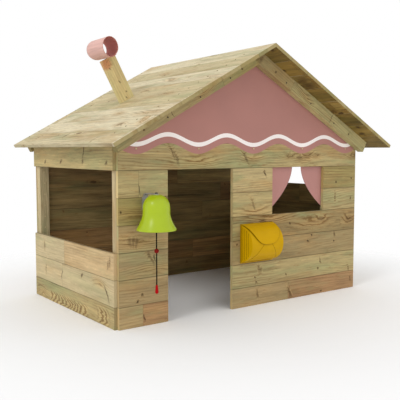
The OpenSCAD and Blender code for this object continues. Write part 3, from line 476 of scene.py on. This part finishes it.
def moulded(name, colour, roughness, ends=1.0, crease=0.0, shine=0.3):
    """Injection-moulded plastic: one dyed colour with a faint spark-eroded skin, and painted shade in its creases. ends
    scales the tone of faces across X against the others, painted light on those faces, and crease is the reach of the
    painted shade in a corner."""
    sparks, clouds = 600.0, 9.0  # in a metre, the sparks coarser than real so that they show
    material, add = new_material(name)
    coord = add("TexCoord", out="Object")
    skin = add("TexNoise", coord, sparks, 2.0)
    lift = add("MapRange", add("TexNoise", coord, clouds, 2.0), *NOISE, 0.95, 1.05)
    # Painted light: faces across X take the tone ends
    across = add("VectorMath DOT_PRODUCT", coord.node.outputs["Normal"], ALONG_X)
    across = add("MapRange", add("Math ABSOLUTE", across), 0.8, 0.97, 1.0, ends)
    lift = add("Math MULTIPLY", lift, across)
    # Painted shade in corners and creases, from ambient occlusion
    if crease:
        open_sky = add("AmbientOcclusion", named={"Distance": crease}, out="AO", samples=8)
        lift = add("Math MULTIPLY", lift, add("MapRange", open_sky, 0.4, 1.0, 0.38, 1.0))
    tone = add("VectorMath MULTIPLY", colour[:3], lift)
    rough = add("MapRange", skin, *NOISE, roughness - 0.05, roughness + 0.07)
    surface(add, tone, rough, (0.25, 0.00012, skin), IOR=1.49, Specular_IOR_Level=shine)
    return material


def metal(name, colour, metallic, roughness, grit):
    """Steel under zinc or powder coating, with a fine mottled skin. Its grit is coarser than real so that it shows."""
    material, add = new_material(name)
    skin = add("TexNoise", add("TexCoord", out="Object"), 1 / grit, 3.0)
    tone = add("VectorMath MULTIPLY", colour[:3], add("MapRange", skin, *NOISE, 0.82, 1.1))
    rough = add("MapRange", skin, *NOISE, roughness - 0.08, roughness + 0.1)
    surface(add, tone, rough, (0.2, 0.0001, skin), Metallic=metallic)
    return material


def coated(name, colour, axes, drawn=(5.0, 5.0, 5.0), depth=0.04):
    """PVC-coated tarpaulin: matt skin over a plain weave, with soft clouds of tone, drawn out where it is rolled."""
    turns = math.tau / bpy.context.scene.playhouse_sheet.weave
    material, add = new_material(name)
    coord = add("TexCoord", out="Object")
    threads = []
    for axis in axes:
        at = add("Math MULTIPLY", add("VectorMath DOT_PRODUCT", coord, axis), turns)
        threads.append(add("Math SINE", at))
    weave = add("Math MULTIPLY", *threads)
    cloud = add("TexNoise", add("VectorMath MULTIPLY", coord, drawn), 1.0, 3.0)
    lift = add("MapRange", cloud, *NOISE, 1 - depth, 1 + depth)
    lift = add("Math MULTIPLY", lift, add("MapRange", weave, -1.0, 1.0, 0.985, 1.015))
    tone = add("VectorMath MULTIPLY", colour[:3], lift)
    rough = add("MapRange", cloud, *NOISE, 0.62, 0.72)
    surface(add, tone, rough, (0.1, 0.0002, weave), Specular_IOR_Level=0.35, Sheen_Weight=0.08)
    return material


class PLAYHOUSE_OT_stage(bpy.types.Operator):
    """Camera, soft light and a pale floor"""

    bl_idname = "playhouse.stage"
    bl_label = "Stage"

    def execute(self, context):
        stage = context.scene.playhouse_stage
        camera = bpy.data.cameras.new("camera")
        camera.sensor_width = 36
        camera.lens = stage.camera_lens
        eye = bpy.data.objects.new("camera", camera)
        eye.location = stage.camera_at
        eye.rotation_euler = (math.pi / 2 - stage.camera_down, 0, -stage.camera_right)
        context.scene.collection.objects.link(eye)
        context.scene.camera = eye
        context.scene.view_settings.view_transform = "Standard"

        # Lamps: energy, spread in degrees, and the way that the light goes
        lamps = {
            "key": (stage.key, 16, Vector((0.80, 0.22, -0.62))),
            "fill": (stage.fill, 75, Vector((0.20, 0.85, -0.36))),
        }
        for name, (energy, spread, towards) in lamps.items():
            sun = bpy.data.lights.new(name, "SUN")
            sun.energy = energy
            sun.angle = math.radians(spread)
            lamp = bpy.data.objects.new(name, sun)
            lamp.rotation_euler = towards.to_track_quat("-Z", "Y").to_euler()
            context.scene.collection.objects.link(lamp)

        # White where the camera, gloss or glass sees it, and a plain level of light elsewhere
        world = bpy.data.worlds.new("white studio")
        world.use_nodes = True
        world.node_tree.nodes.clear()
        add = partial(add_node, world.node_tree)
        path = add("LightPath").node.outputs
        shown = add("Math MAXIMUM", path["Is Camera Ray"], path["Is Glossy Ray"])
        shown = add("Math MAXIMUM", shown, path["Is Transmission Ray"])
        level = add("MapRange", shown, 0.0, 1.0, stage.ambient, 1.0)
        add("OutputWorld", add("Background", WHITE, level))
        context.scene.world = world

        floor_r, fade_from, fade_to = 14, 1.2, 2.6
        bm = bmesh.new()
        bmesh.ops.create_circle(bm, cap_ends=True, segments=96, radius=floor_r)
        # Painted studio floor that fades into the white backdrop
        material, add = new_material("painted studio floor")
        far = add("VectorMath LENGTH", add("TexCoord", out="Object"))
        fade = add("MapRange", far, fade_from, fade_to, interpolation_type="SMOOTHSTEP")
        paint, clear = add("BsdfDiffuse", stage.floor), add("BsdfTransparent")
        add("OutputMaterial", add("MixShader", fade, paint, clear))
        floor = new_object(bm, "floor", [material])
        return {"FINISHED"}


class PLAYHOUSE_OT_pull_cord(bpy.types.Operator):
    """Twisted pull cord between the clapper and the pull knob"""

    bl_idname = "playhouse.pull_cord"
    bl_label = "Pull cord"

    def execute(self, context):
        fit = context.scene.playhouse_fittings
        low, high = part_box("bell_pull_cord")
        middle = (low + high) / 2
        radius = (high.x - low.x) / 2
        length = high.z - low.z
        lay, strands, groove = 0.022, 3, 0.07
        steps, parts = 132, 24
        bm = bmesh.new()
        round_cut = bmesh.ops.create_circle(bm, segments=18, radius=radius)["verts"]
        for vert in round_cut:
            vert.co *= 1 - groove + groove * math.cos(strands * math.atan2(vert.co.y, vert.co.x))
        bmesh.ops.translate(bm, verts=round_cut, vec=(middle.x, middle.y, high.z))
        top = bm.edges[:]
        spun = bmesh.ops.spin(
            bm, geom=top, cent=(middle.x, middle.y, high.z), axis=ALONG_Z, dvec=(0, 0, -length / steps),
            angle=length / lay * math.tau, steps=steps, use_duplicate=False,
        )["geom_last"]
        bmesh.ops.edgenet_fill(bm, edges=top)
        bmesh.ops.edgenet_fill(bm, edges=[g for g in spun if isinstance(g, bmesh.types.BMEdge)])
        bmesh.ops.recalc_face_normals(bm, faces=bm.faces[:])
        smooth_faces(bm)
        # Polypropylene cord, twisted from three strands: dull and fuzzy, its fuzz coarser than real so that it shows
        fuzz_scale = 900.0
        material, add = new_material("twisted polypropylene cord")
        fuzz = add("TexNoise", add("TexCoord", out="Object"), fuzz_scale, 2.0)
        tone = add("VectorMath MULTIPLY", fit.cord[:3], add("MapRange", fuzz, *NOISE, 0.7, 1.25))
        surface(add, tone, 0.85, (0.4, 0.0003, fuzz), Specular_IOR_Level=0.1)
        cord = keep_mesh(bm, "pull_cord", [material], "clapper")
        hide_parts("bell_pull_cord")
        return {"FINISHED"}


class PLAYHOUSE_OT_gable_sheet(bpy.types.Operator):
    """Gable sheet with a wavy lower edge and a printed stripe"""

    bl_idname = "playhouse.gable_sheet"
    bl_label = "Gable sheet"

    def execute(self, context):
        sheet = context.scene.playhouse_sheet
        low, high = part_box("gable_sheet")
        middle = (low + high) / 2
        half = (high.x - low.x) / 2
        waves, wave_amp, stripe_amp = 4.63, 0.029, 0.0265
        wave_l = (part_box("right_boards")[1].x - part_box("left_board_1")[0].x) / waves
        edge_mid = low.z + wave_amp
        stripe_mid = edge_mid + sheet.stripe_rise
        stripe_from, stripe_to, stripe_row = -0.839, 0.856, 1
        rows, columns = 4, 232

        def heights(x):
            swing = -math.cos(math.tau * (x - middle.x) / wave_l)
            top = high.z - abs(x - middle.x) * math.tan(SLOPE)
            line = min(stripe_mid + stripe_amp * swing, top - sheet.stripe_w)
            return (edge_mid + wave_amp * swing, line - sheet.stripe_w / 2, line + sheet.stripe_w / 2,
                    (line + top) / 2 + sheet.stripe_w / 4, top)

        bm = bmesh.new()
        bmesh.ops.create_grid(bm, x_segments=columns, y_segments=rows, size=1)
        for face in bm.faces:
            centre = face.calc_center_median()
            row = int((centre.y + 1) / 2 * rows)
            face.material_index = int(row == stripe_row and stripe_from < centre.x * half < stripe_to)
        for vert in bm.verts:
            x = middle.x + vert.co.x * half
            vert.co = (x, middle.y + sheet.thick / 2, heights(x)[round((vert.co.y + 1) / 2 * rows)])
        area = sum(face.calc_area() for face in bm.faces)
        pink = coated("PVC-coated tarpaulin, dusty pink", sheet.pink, (ALONG_X, ALONG_Z))
        white = coated("PVC-coated tarpaulin, white print", sheet.stripe, (ALONG_X, ALONG_Z))
        bmesh.ops.recalc_face_normals(bm, faces=bm.faces[:])
        if bm.faces[:][0].normal.y > 0:
            bmesh.ops.reverse_faces(bm, faces=bm.faces[:])
        bmesh.ops.solidify(bm, geom=bm.faces[:], thickness=sheet.thick)
        piece = keep_mesh(bm, "gable_tarpaulin", [pink, white], "house")
        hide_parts("gable_sheet")
        return {"FINISHED"}


class PLAYHOUSE_OT_curtains(bpy.types.Operator):
    """Curtains drawn to the sides of the window"""

    bl_idname = "playhouse.curtains"
    bl_label = "Curtains"

    def execute(self, context):
        sheet = context.scene.playhouse_sheet
        cloth = coated("PVC-coated tarpaulin, curtain pink", sheet.curtain, (ALONG_X, ALONG_Z))
        sweep, power = 0.251, 1.8
        pleats, pleat_deep, least_w, clear, hem = 3, 0.0035, 0.0008, 0.0002, 0.0015
        columns, rows = 28, 40
        for side in ("left", "right"):
            low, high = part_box("curtain_" + side)
            sign = 1 if side == "left" else -1
            hidden = low.x if sign > 0 else high.x
            lap = high.z - LINTEL
            half = high.x - low.x - lap

            def reach(z):
                fall = max(0.0, LINTEL - z) / sweep
                if fall <= 1:
                    return lap + half * (1 - fall ** power)
                return max(0.0, lap - (fall - 1) * power * half)

            bm = bmesh.new()
            bmesh.ops.create_grid(bm, x_segments=columns, y_segments=rows, size=1)
            for vert in bm.verts:
                s, t = (vert.co.x + 1) / 2, (vert.co.y + 1) / 2
                z = low.z + hem + (high.z - low.z - hem) * t
                wide = max(least_w, reach(z))
                pleat = 0.5 - 0.5 * math.cos(math.tau * pleats * s)
                loose = pleat_deep * pleat * s * (0.35 + 0.65 * (1 - t))
                vert.co = (hidden + sign * wide * s, low.y + sheet.thick + clear + loose, z)
            area = sum(face.calc_area() for face in bm.faces)
            if bm.faces[:][0].normal.y > 0:
                bmesh.ops.reverse_faces(bm, faces=bm.faces[:])
            bmesh.ops.recalc_face_normals(bm, faces=bm.faces[:])
            smooth_faces(bm)
            bmesh.ops.solidify(bm, geom=bm.faces[:], thickness=sheet.thick)
            piece = keep_mesh(bm, "curtain_cloth_" + side, [cloth], "house")
            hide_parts("curtain_" + side)
        return {"FINISHED"}


class PLAYHOUSE_OT_chimney_roll(bpy.types.Operator):
    """Sheet rolled into the chimney's ring, its ends lapped over the board"""

    bl_idname = "playhouse.chimney_roll"
    bl_label = "Chimney roll"

    def execute(self, context):
        sheet = context.scene.playhouse_sheet
        low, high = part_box("chimney_ring")
        middle = (low + high) / 2
        radius = (high.x - low.x) / 2
        half = (high.y - low.y) / 2 - sheet.slant
        lap, ease_in = math.radians(42), math.radians(30)
        tuck = sheet.thick * 1.35
        steps, rows = 110, 16
        turn = math.tau + lap
        start = math.atan2(-SLOPE_OUT.z, -SLOPE_OUT.x) - lap / 2

        def outward(face):
            centre = face.calc_center_median()
            return face.normal.dot(centre - Vector((middle.x, centre.y, middle.z)))

        bm = bmesh.new()
        bmesh.ops.create_grid(bm, x_segments=steps, y_segments=rows, size=1)
        for vert in bm.verts:
            swept = (vert.co.x + 1) / 2 * turn
            ease = min(1.0, max(0.0, (swept - lap) / ease_in))
            r = radius - tuck * (1 - ease)
            angle = start + swept
            y = middle.y + vert.co.y * (half - sheet.slant * math.cos(angle))
            vert.co = (middle.x + r * math.cos(angle), y, middle.z + r * math.sin(angle))
        area = sum(face.calc_area() for face in bm.faces)
        bmesh.ops.recalc_face_normals(bm, faces=bm.faces[:])
        if outward(bm.faces[:][0]) < 0:
            bmesh.ops.reverse_faces(bm, faces=bm.faces[:])
        smooth_faces(bm)
        bmesh.ops.solidify(bm, geom=bm.faces[:], thickness=sheet.thick)
        for face in bm.faces:
            face.material_index = int(outward(face) < 0)
        cloth = coated("PVC-coated tarpaulin, rolled", sheet.roll, (ALONG_Y, ALONG_Z), (60.0, 5.0, 60.0), 0.14)
        back = coated("PVC-coated tarpaulin, back of the roll", sheet.back, (ALONG_Y, ALONG_Z))
        piece = keep_mesh(bm, "chimney_roll", [cloth, back], "house")
        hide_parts("chimney_ring")
        return {"FINISHED"}


# Boards of the front and the left wall: the tone, then the knots that show, each in metres from the board's left or
# front end and as a share of its height
BOARDS = {
    "front_left_board_1": ("tan", (0.146, 0.38, "spike")),
    "front_left_board_2": ("tan", (0.138, 0.36, "pin"), (0.112, 0.14, "pin")),
    "front_left_board_3": ("tan", (0.19, 0.72, "stroke"), (0.215, 0.7, "spike"), (0.24, 0.3, "flame")),
    "front_left_board_4": ("tan", (0.06, 0.36, "smear"), (0.08, 0.36, "smear"), (0.103, 0.33, "smear"),
                           (0.13, 0.3, "flame")),
    "front_left_board_5": ("olive", (0.01, 0.47, "pin"), (0.1, 0.4, "flame")),
    "front_left_board_6": ("pale", (0.124, 0.3, "check")),
    "front_right_board_1": ("tan", (0.193, 0.6, "smear"), (0.452, 0.34, "stroke"), (0.735, 0.11, "pin"),
                            (1.015, 0.54, "smear")),
    "front_right_board_2": ("pale", (0.211, 0.74, "smear"), (0.186, 0.35, "pin"), (0.186, 0.16, "pin"),
                            (0.423, 0.3, "pin"), (0.724, 0.7, "spike"), (0.702, 0.35, "pin"), (0.989, 0.12, "smear")),
    "front_right_board_3": ("fawn", (0.038, 0.84, "pin"), (0.612, 0.66, "pin"), (0.641, 0.91, "pin"),
                            (0.851, 0.87, "spike"), (0.852, 0.51, "pin")),
    "front_right_board_4": ("dark", (0.229, 0.78, "swirl"), (0.3, 0.84, "flame"), (0.454, 0.53, "pin"),
                            (0.64, 0.5, "flame"), (0.726, 0.63, "swirl"), (0.99, 0.5, "whorl")),
    "window_left_board_1": ("pale", (0.158, 0.45, "stroke"), (0.15, 0.2, "flame")),
    "window_left_board_2": ("buff", (0.246, 0.76, "spike")),
    "window_right_board_1": ("pale", (0.112, 0.58, "smear"), (0.266, 0.45, "pin")),
    "window_right_board_2": ("olive", (0.126, 0.27, "pin"), (0.255, 0.42, "pin")),
    "front_top_board": ("pale", (0.322, 0.66, "stroke"), (0.35, 0.46, "stroke"), (0.5, 0.3, "flame"),
                        (0.843, 0.45, "stroke"), (0.9, 0.4, "eye"), (1.19, 0.46, "wedge"), (1.27, 0.41, "swirl"),
                        (1.33, 0.48, "whorl"), (1.41, 0.46, "wedge"), (1.76, 0.44, "wedge")),
    "left_board_1": ("pale", (0.93, 0.3, "eye")),
    "left_board_2": ("light", (0.079, 0.45, "rift"), (0.16, 0.76, "eye"), (0.372, 0.8, "mark"),
                     (0.628, 0.55, "check"), (0.865, 0.54, "smear")),
    "left_board_3": ("amber", (0.039, 0.63, "smear"), (0.06, 0.5, "smear"), (0.885, 0.56, "smear")),
    "left_top_board": ("honey", (0.071, 0.26, "mark"), (0.328, 0.75, "crack"), (0.34, 0.29, "mark"),
                       (0.626, 0.27, "mark"), (0.859, 0.24, "mark")),
}
# Finger joints of those boards: the tone past the joint, and its place from the same end
JOINTS = {
    "front_left_board_1": ("brown", 0.141),
    "front_left_board_6": ("pale", 0.12),
    "front_right_board_1": ("brown", 0.443),
    "left_board_2": ("light", 0.632),
    "left_board_3": ("light", 0.6),
}
# Strength of the grain, where it isn't 1
GRAINS = {
    "left_board_1": 1.2, "left_board_2": 0.6, "left_board_3": 0.8,
    "front_right_board_4": 1.4, "window_left_board_2": 1.2, "front_top_board": 1.3,
}
# Bowed rings: start and end, level as a share of the board's height, half height
BOWED = {"left_board_1": ((0.29, 0.82, 0.27, 0.036), (0.05, 0.19, 0.4, 0.046))}


class PLAYHOUSE_OT_walls(bpy.types.Operator):
    """Pine of the wall boards, board by board"""

    bl_idname = "playhouse.walls"
    bl_label = "Wall boards"

    def execute(self, context):
        wood = context.scene.playhouse_wood
        front = (ALONG_X, ALONG_Z, ALONG_Y)
        side = (ALONG_Y, ALONG_Z, ALONG_X)
        first_seed = 11
        # Each board's inner face takes painted shade of the interior
        for i, (node, (tone, *knots)) in enumerate(BOARDS.items()):
            low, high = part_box(node)
            # The front boards' end grain is lifted to a painted highlight along the corners. The left boards' end grain
            # is a little darker
            axes, inner, end = (side, ALONG_X, 0.95) if node.startswith("left") else (front, ALONG_Y, 1.6)
            start, tall = axes[0].dot(low), high.z - low.z
            mate, split = JOINTS.get(node, (tone, 0.0))
            placed = [(start + along, low.z + up * tall, kind) for along, up, kind in knots]
            bows = [(start + a, start + b, low.z + up * tall, half) for a, b, up, half in BOWED.get(node, ())]
            dress(pine(f"planed treated pine, {node}", axes, getattr(wood, tone), first_seed + i, ROWS,
                       getattr(wood, mate), start + split, knots=placed, grain=GRAINS.get(node, 1.0),
                       face=axes[2].dot(low), ends=(end, end, end), inner=inner, crescents=bows,
                       flush=0.25 if bows else 0.6), node)
        for wall, axes, seed in (("right", side, 85), ("back", front, 87)):
            node = wall + "_boards"
            dress(pine(f"planed treated pine, {wall} wall", axes, wood.pale, seed, ROWS, wood.brown, loose=0.6,
                       length=1.5, face=span(node, axes[2])[1], inner=-axes[2]), node)
        return {"FINISHED"}


# Knots of the roof, in metres behind its front edge and up from the eave. Those on the right show from below.
ROOF_KNOTS = {
    "left": ((0.264, 0.209, "swirl"), (0.31, 0.577, "eye"), (0.094, 0.264, "blush"), (0.086, 0.236, "blush"),
             (0.281, 0.048, "check"), (0.715, 0.102, "smear"), (1.091, 0.095, "smear"), (0.967, 0.565, "pin"),
             (0.506, 0.353, "eye"), (0.814, 0.943, "eye"), (0.575, 0.805, "eye"), (0.145, 0.334, "flame")),
    "right": ((0.05, 1.13, "boss"), (0.137, 0.935, "boss"), (0.088, 0.81, "ember"), (0.074, 0.765, "ember"),
              (0.155, 0.68, "boss"), (0.123, 0.47, "ember"), (0.08, 0.445, "boss"), (0.066, 0.27, "boss"),
              (0.095, 0.185, "boss")),
}
# Knots of the chimney's board, in metres from its head and from its left edge. The first, a blush at its head, is
# painted shade and pink light thrown down by the roll
CHIMNEY_KNOTS = ((0.028, 0.024, "blush"), (0.062, 0.032, "tick"), (0.148, 0.052, "tick"), (0.223, 0.069, "tick"),
                 (0.262, 0.05, "tick"))


class PLAYHOUSE_OT_roof(bpy.types.Operator):
    """Pine of the roof boards and the chimney board"""

    bl_idname = "playhouse.roof"
    bl_label = "Roof boards"

    def execute(self, context):
        wood = context.scene.playhouse_wood
        boards_a_side = 8
        for side, turn, seed in (("left", Vector, 91), ("right", flipped, 93)):
            up, out = turn(SLOPE_UP), turn(SLOPE_OUT)
            node = "roof_boards_" + side
            first, last = span(node, up)
            front = span(node, ALONG_Y)[0]
            knots = [(front + behind, first + over, kind) for behind, over, kind in ROOF_KNOTS[side]]
            # The roof's underside takes strong painted shade, tinted by shade, where the eaves overhang
            dress(pine(f"planed treated pine, {side} roof", (ALONG_Y, up, out), wood.bleached, seed,
                       (first, (last - first) / boards_a_side), wood.chalk, knots=knots, bands=0.55, loose=0.5,
                       length=1.6, joint=0.2, face=span(node, out)[1], ends=(0.62, 0.57, 0.4), inner=-out,
                       shade=(0.64, 0.51, 0.21)), node)
        top, left = span("chimney_board", SLOPE_OUT)[1], span("chimney_board", SLOPE_UP)[0]
        knots = [(top - down, left + over, kind) for down, over, kind in CHIMNEY_KNOTS]
        # Its head carries painted shade and pink light from the roll, drawn in the resin's place
        dress(pine("planed treated pine, chimney board", (SLOPE_OUT, SLOPE_UP, ALONG_Y), wood.straw, 95, knots=knots,
                   grain=0.5, face=span("chimney_board", ALONG_Y)[0], rust=wood.roll_shade, flush=0.85), "chimney_board")
        return {"FINISHED"}


# Knots of the rafters, and where their second tone begins, as shares of their length from the eave. That upper tone is
# darker: painted shade of the roof overhang, at a finger joint
RAFTER_KNOTS = ((0.17, "pin"), (0.35, "check"), (0.59, "eye"), (0.85, "pin"), (0.96, "smear"))
RAFTER_SPLIT = 0.7


class PLAYHOUSE_OT_timbers(bpy.types.Operator):
    """Pine of the posts and rafters"""

    bl_idname = "playhouse.timbers"
    bl_label = "Posts and rafters"

    def execute(self, context):
        wood = context.scene.playhouse_wood
        upright = (ALONG_Z, ALONG_X, ALONG_Y)
        post_seed, rafter_seed = 101, 121
        posts = [n for n in sorted(frame["nodes"]) if "post" in n]
        for i, node in enumerate(posts):
            dress(pine(f"planed treated pine, {node}", upright, wood.light, post_seed + i, loose=0.2,
                       face=span(node, ALONG_Y)[0]), node)
        rafters = [n for n in sorted(frame["nodes"]) if n.startswith("rafter")]
        for i, node in enumerate(rafters):
            turn = Vector if node.endswith("left") else flipped
            axes = (turn(SLOPE_UP), turn(SLOPE_OUT), ALONG_Y)
            foot, head = span(node, axes[0])
            mid = sum(span(node, axes[1])) / 2
            knots = [(foot + share * (head - foot), mid, kind) for share, kind in RAFTER_KNOTS]
            # Upper lengths are darker, as painted shade of the overhang, and the end grain is darkened, as painted
            # shade at the rafters' feet under the eaves
            tone, mate = (wood.pale, wood.olive) if turn is Vector else (wood.grey, wood.pale)
            dress(pine(f"planed treated pine, {node}", axes, tone, rafter_seed + i, mate=mate,
                       split=foot + RAFTER_SPLIT * (head - foot), blend=0.12, knots=knots,
                       face=span(node, ALONG_Y)[0], ends=(0.7, 0.66, 0.52)), node)
        return {"FINISHED"}


class PLAYHOUSE_OT_bell(bpy.types.Operator):
    """Moulded bell with its bracket, clapper and pull"""

    bl_idname = "playhouse.bell"
    bl_label = "Bell"

    def execute(self, context):
        fit = context.scene.playhouse_fittings
        low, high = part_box("bell_body")
        axis_x, axis_y = (low.x + high.x) / 2, (low.y + high.y) / 2
        rim_r, tall, wall, lip = (high.x - low.x) / 2, high.z - low.z, 0.004, 0.0012
        waist_r, seat_r, bore_r = 0.0695, 0.012, 0.00405
        lip_h, flare_h, shoulder_h, flare_power = 0.007, 0.086, 0.112, 1.6
        steps, turns = 26, 72

        def side(inset):
            flare, crown = [], []
            for share in (i / steps for i in range(steps + 1)):
                flare.append((waist_r + (rim_r - waist_r) * (1 - share) ** flare_power - inset,
                              lip_h + (flare_h - lip_h) * share))
                turn = math.pi / 2 * share
                crown.append((seat_r + (waist_r - inset - seat_r) * math.cos(turn),
                              shoulder_h + (tall - shoulder_h - inset) * math.sin(turn)))
            return flare + crown

        outer = [(rim_r - lip, 0), (rim_r, lip)] + side(0)
        inner = [(rim_r - wall + lip, 0), (rim_r - wall, lip)] + side(wall)
        profile = outer + [(bore_r, tall), (bore_r, tall - wall)] + inner[::-1]
        bm = bmesh.new()
        verts = [bm.verts.new((axis_x + r, axis_y, low.z + z)) for r, z in profile]
        edges = [bm.edges.new((a, b)) for a, b in zip(verts, verts[1:] + verts[:1])]
        bmesh.ops.spin(bm, geom=verts + edges, cent=(axis_x, axis_y, 0), axis=ALONG_Z, angle=math.tau, steps=turns,
                       use_merge=True)
        bmesh.ops.remove_doubles(bm, verts=bm.verts[:], dist=1e-6)
        bmesh.ops.recalc_face_normals(bm, faces=bm.faces[:])
        smooth_faces(bm)
        lime = moulded("moulded polypropylene, lime", fit.lime, 0.3, shine=0.45)
        bell = keep_mesh(bm, "bell_shell", [lime], "house")
        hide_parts("bell_body")
        dress(metal("powder-coated steel, grey", fit.steel, metallic=0.35, roughness=0.45, grit=0.0015),
              "bell_bracket")
        dress(moulded("moulded ABS, dark red", fit.maroon, 0.4, shine=0.1), "bell_bead")
        dress(moulded("moulded ABS, red", fit.red, 0.4, shine=0.1), "bell_knob")
        # Turned beech under oil: brown and dull. The bell hides most of it, so the pine's grain does for it
        dress(pine("turned beech, oiled", (ALONG_Z, ALONG_X, ALONG_Y), fit.hardwood, 141,
                   face=span("bell_clapper", ALONG_Y)[0]), "bell_clapper")
        return {"FINISHED"}


class PLAYHOUSE_OT_letter_box(bpy.types.Operator):
    """Moulded letter box with its hinged flap"""

    bl_idname = "playhouse.letter_box"
    bl_label = "Letter box"

    def execute(self, context):
        yellow = context.scene.playhouse_fittings.yellow
        # Its end faces are painted a little lighter, and its creases take painted shade
        dress(moulded("moulded polypropylene, yellow", yellow, 0.42, ends=1.1, crease=0.02, shine=0.1),
              "mailbox_body", "mailbox_lid")
        return {"FINISHED"}


class PLAYHOUSE_OT_fasteners(bpy.types.Operator):
    """Galvanised screws, bolt and pins"""

    bl_idname = "playhouse.fasteners"
    bl_label = "Fasteners"

    def execute(self, context):
        fit = context.scene.playhouse_fittings
        dress(metal("galvanised steel", fit.zinc, metallic=0.6, roughness=0.55, grit=0.0012),
              "bell_bolt", "clapper_pin", "mailbox_hinge_pin", "fitting_screws")
        # Wood screws, passivated yellow, sink into the tone of the pine
        dress(metal("yellow-passivated steel", fit.passivated, metallic=0.1, roughness=0.6, grit=0.0012),
              "frame_screws", "sheet_screws")
        # Those that hold the front rafters have black heads, which face the front
        material, add = new_material("passivated and blackened steel")
        coord = add("TexCoord", out="Object")
        grit = 0.00125
        skin = add("TexNoise", coord, 1 / grit, 3.0)
        front = add("VectorMath DOT_PRODUCT", coord.node.outputs["Normal"], -ALONG_Y)
        head = add("MapRange", front, 0.5, 0.8)
        tone = add("Mix", head, fit.passivated, fit.black, data_type="RGBA")
        surface(add, tone, add("MapRange", skin, *NOISE, 0.5, 0.7), Metallic=0.1)
        dress(material, "roof_screws")
        return {"FINISHED"}


class PLAYHOUSE_PT_panel(bpy.types.Panel):
    """Lists the playhouse's settings and steps"""

    bl_idname = "PLAYHOUSE_PT_panel"
    bl_label = "Playhouse"
    bl_space_type = "VIEW_3D"
    bl_region_type = "UI"
    bl_category = "Playhouse"

    def draw(self, context):
        for group in GROUPS:
            settings = getattr(context.scene, group)
            column = self.layout.column(align=True)
            for name in settings.__annotations__:
                column.prop(settings, name)
        for step in STEPS:
            self.layout.operator(step.bl_idname)


GROUPS = {
    "playhouse_wood": PlayhouseWood,
    "playhouse_sheet": PlayhouseSheet,
    "playhouse_fittings": PlayhouseFittings,
    "playhouse_stage": PlayhouseStage,
}
STEPS = (
    PLAYHOUSE_OT_stage,
    PLAYHOUSE_OT_pull_cord,
    PLAYHOUSE_OT_gable_sheet,
    PLAYHOUSE_OT_curtains,
    PLAYHOUSE_OT_chimney_roll,
    PLAYHOUSE_OT_walls,
    PLAYHOUSE_OT_roof,
    PLAYHOUSE_OT_timbers,
    PLAYHOUSE_OT_bell,
    PLAYHOUSE_OT_letter_box,
    PLAYHOUSE_OT_fasteners,
)


def register():
    for cls in (*GROUPS.values(), *STEPS, PLAYHOUSE_PT_panel):
        bpy.utils.register_class(cls)
    for name, cls in GROUPS.items():
        setattr(bpy.types.Scene, name, bpy.props.PointerProperty(type=cls))


def unregister():
    for name in GROUPS:
        delattr(bpy.types.Scene, name)
    for cls in (PLAYHOUSE_PT_panel, *reversed(STEPS), *reversed(GROUPS.values())):
        bpy.utils.unregister_class(cls)


def main():
    register()
    for step in STEPS:
        family, name = step.bl_idname.split(".")
        getattr(getattr(bpy.ops, family), name)()


if __name__ == "__main__":
    main()
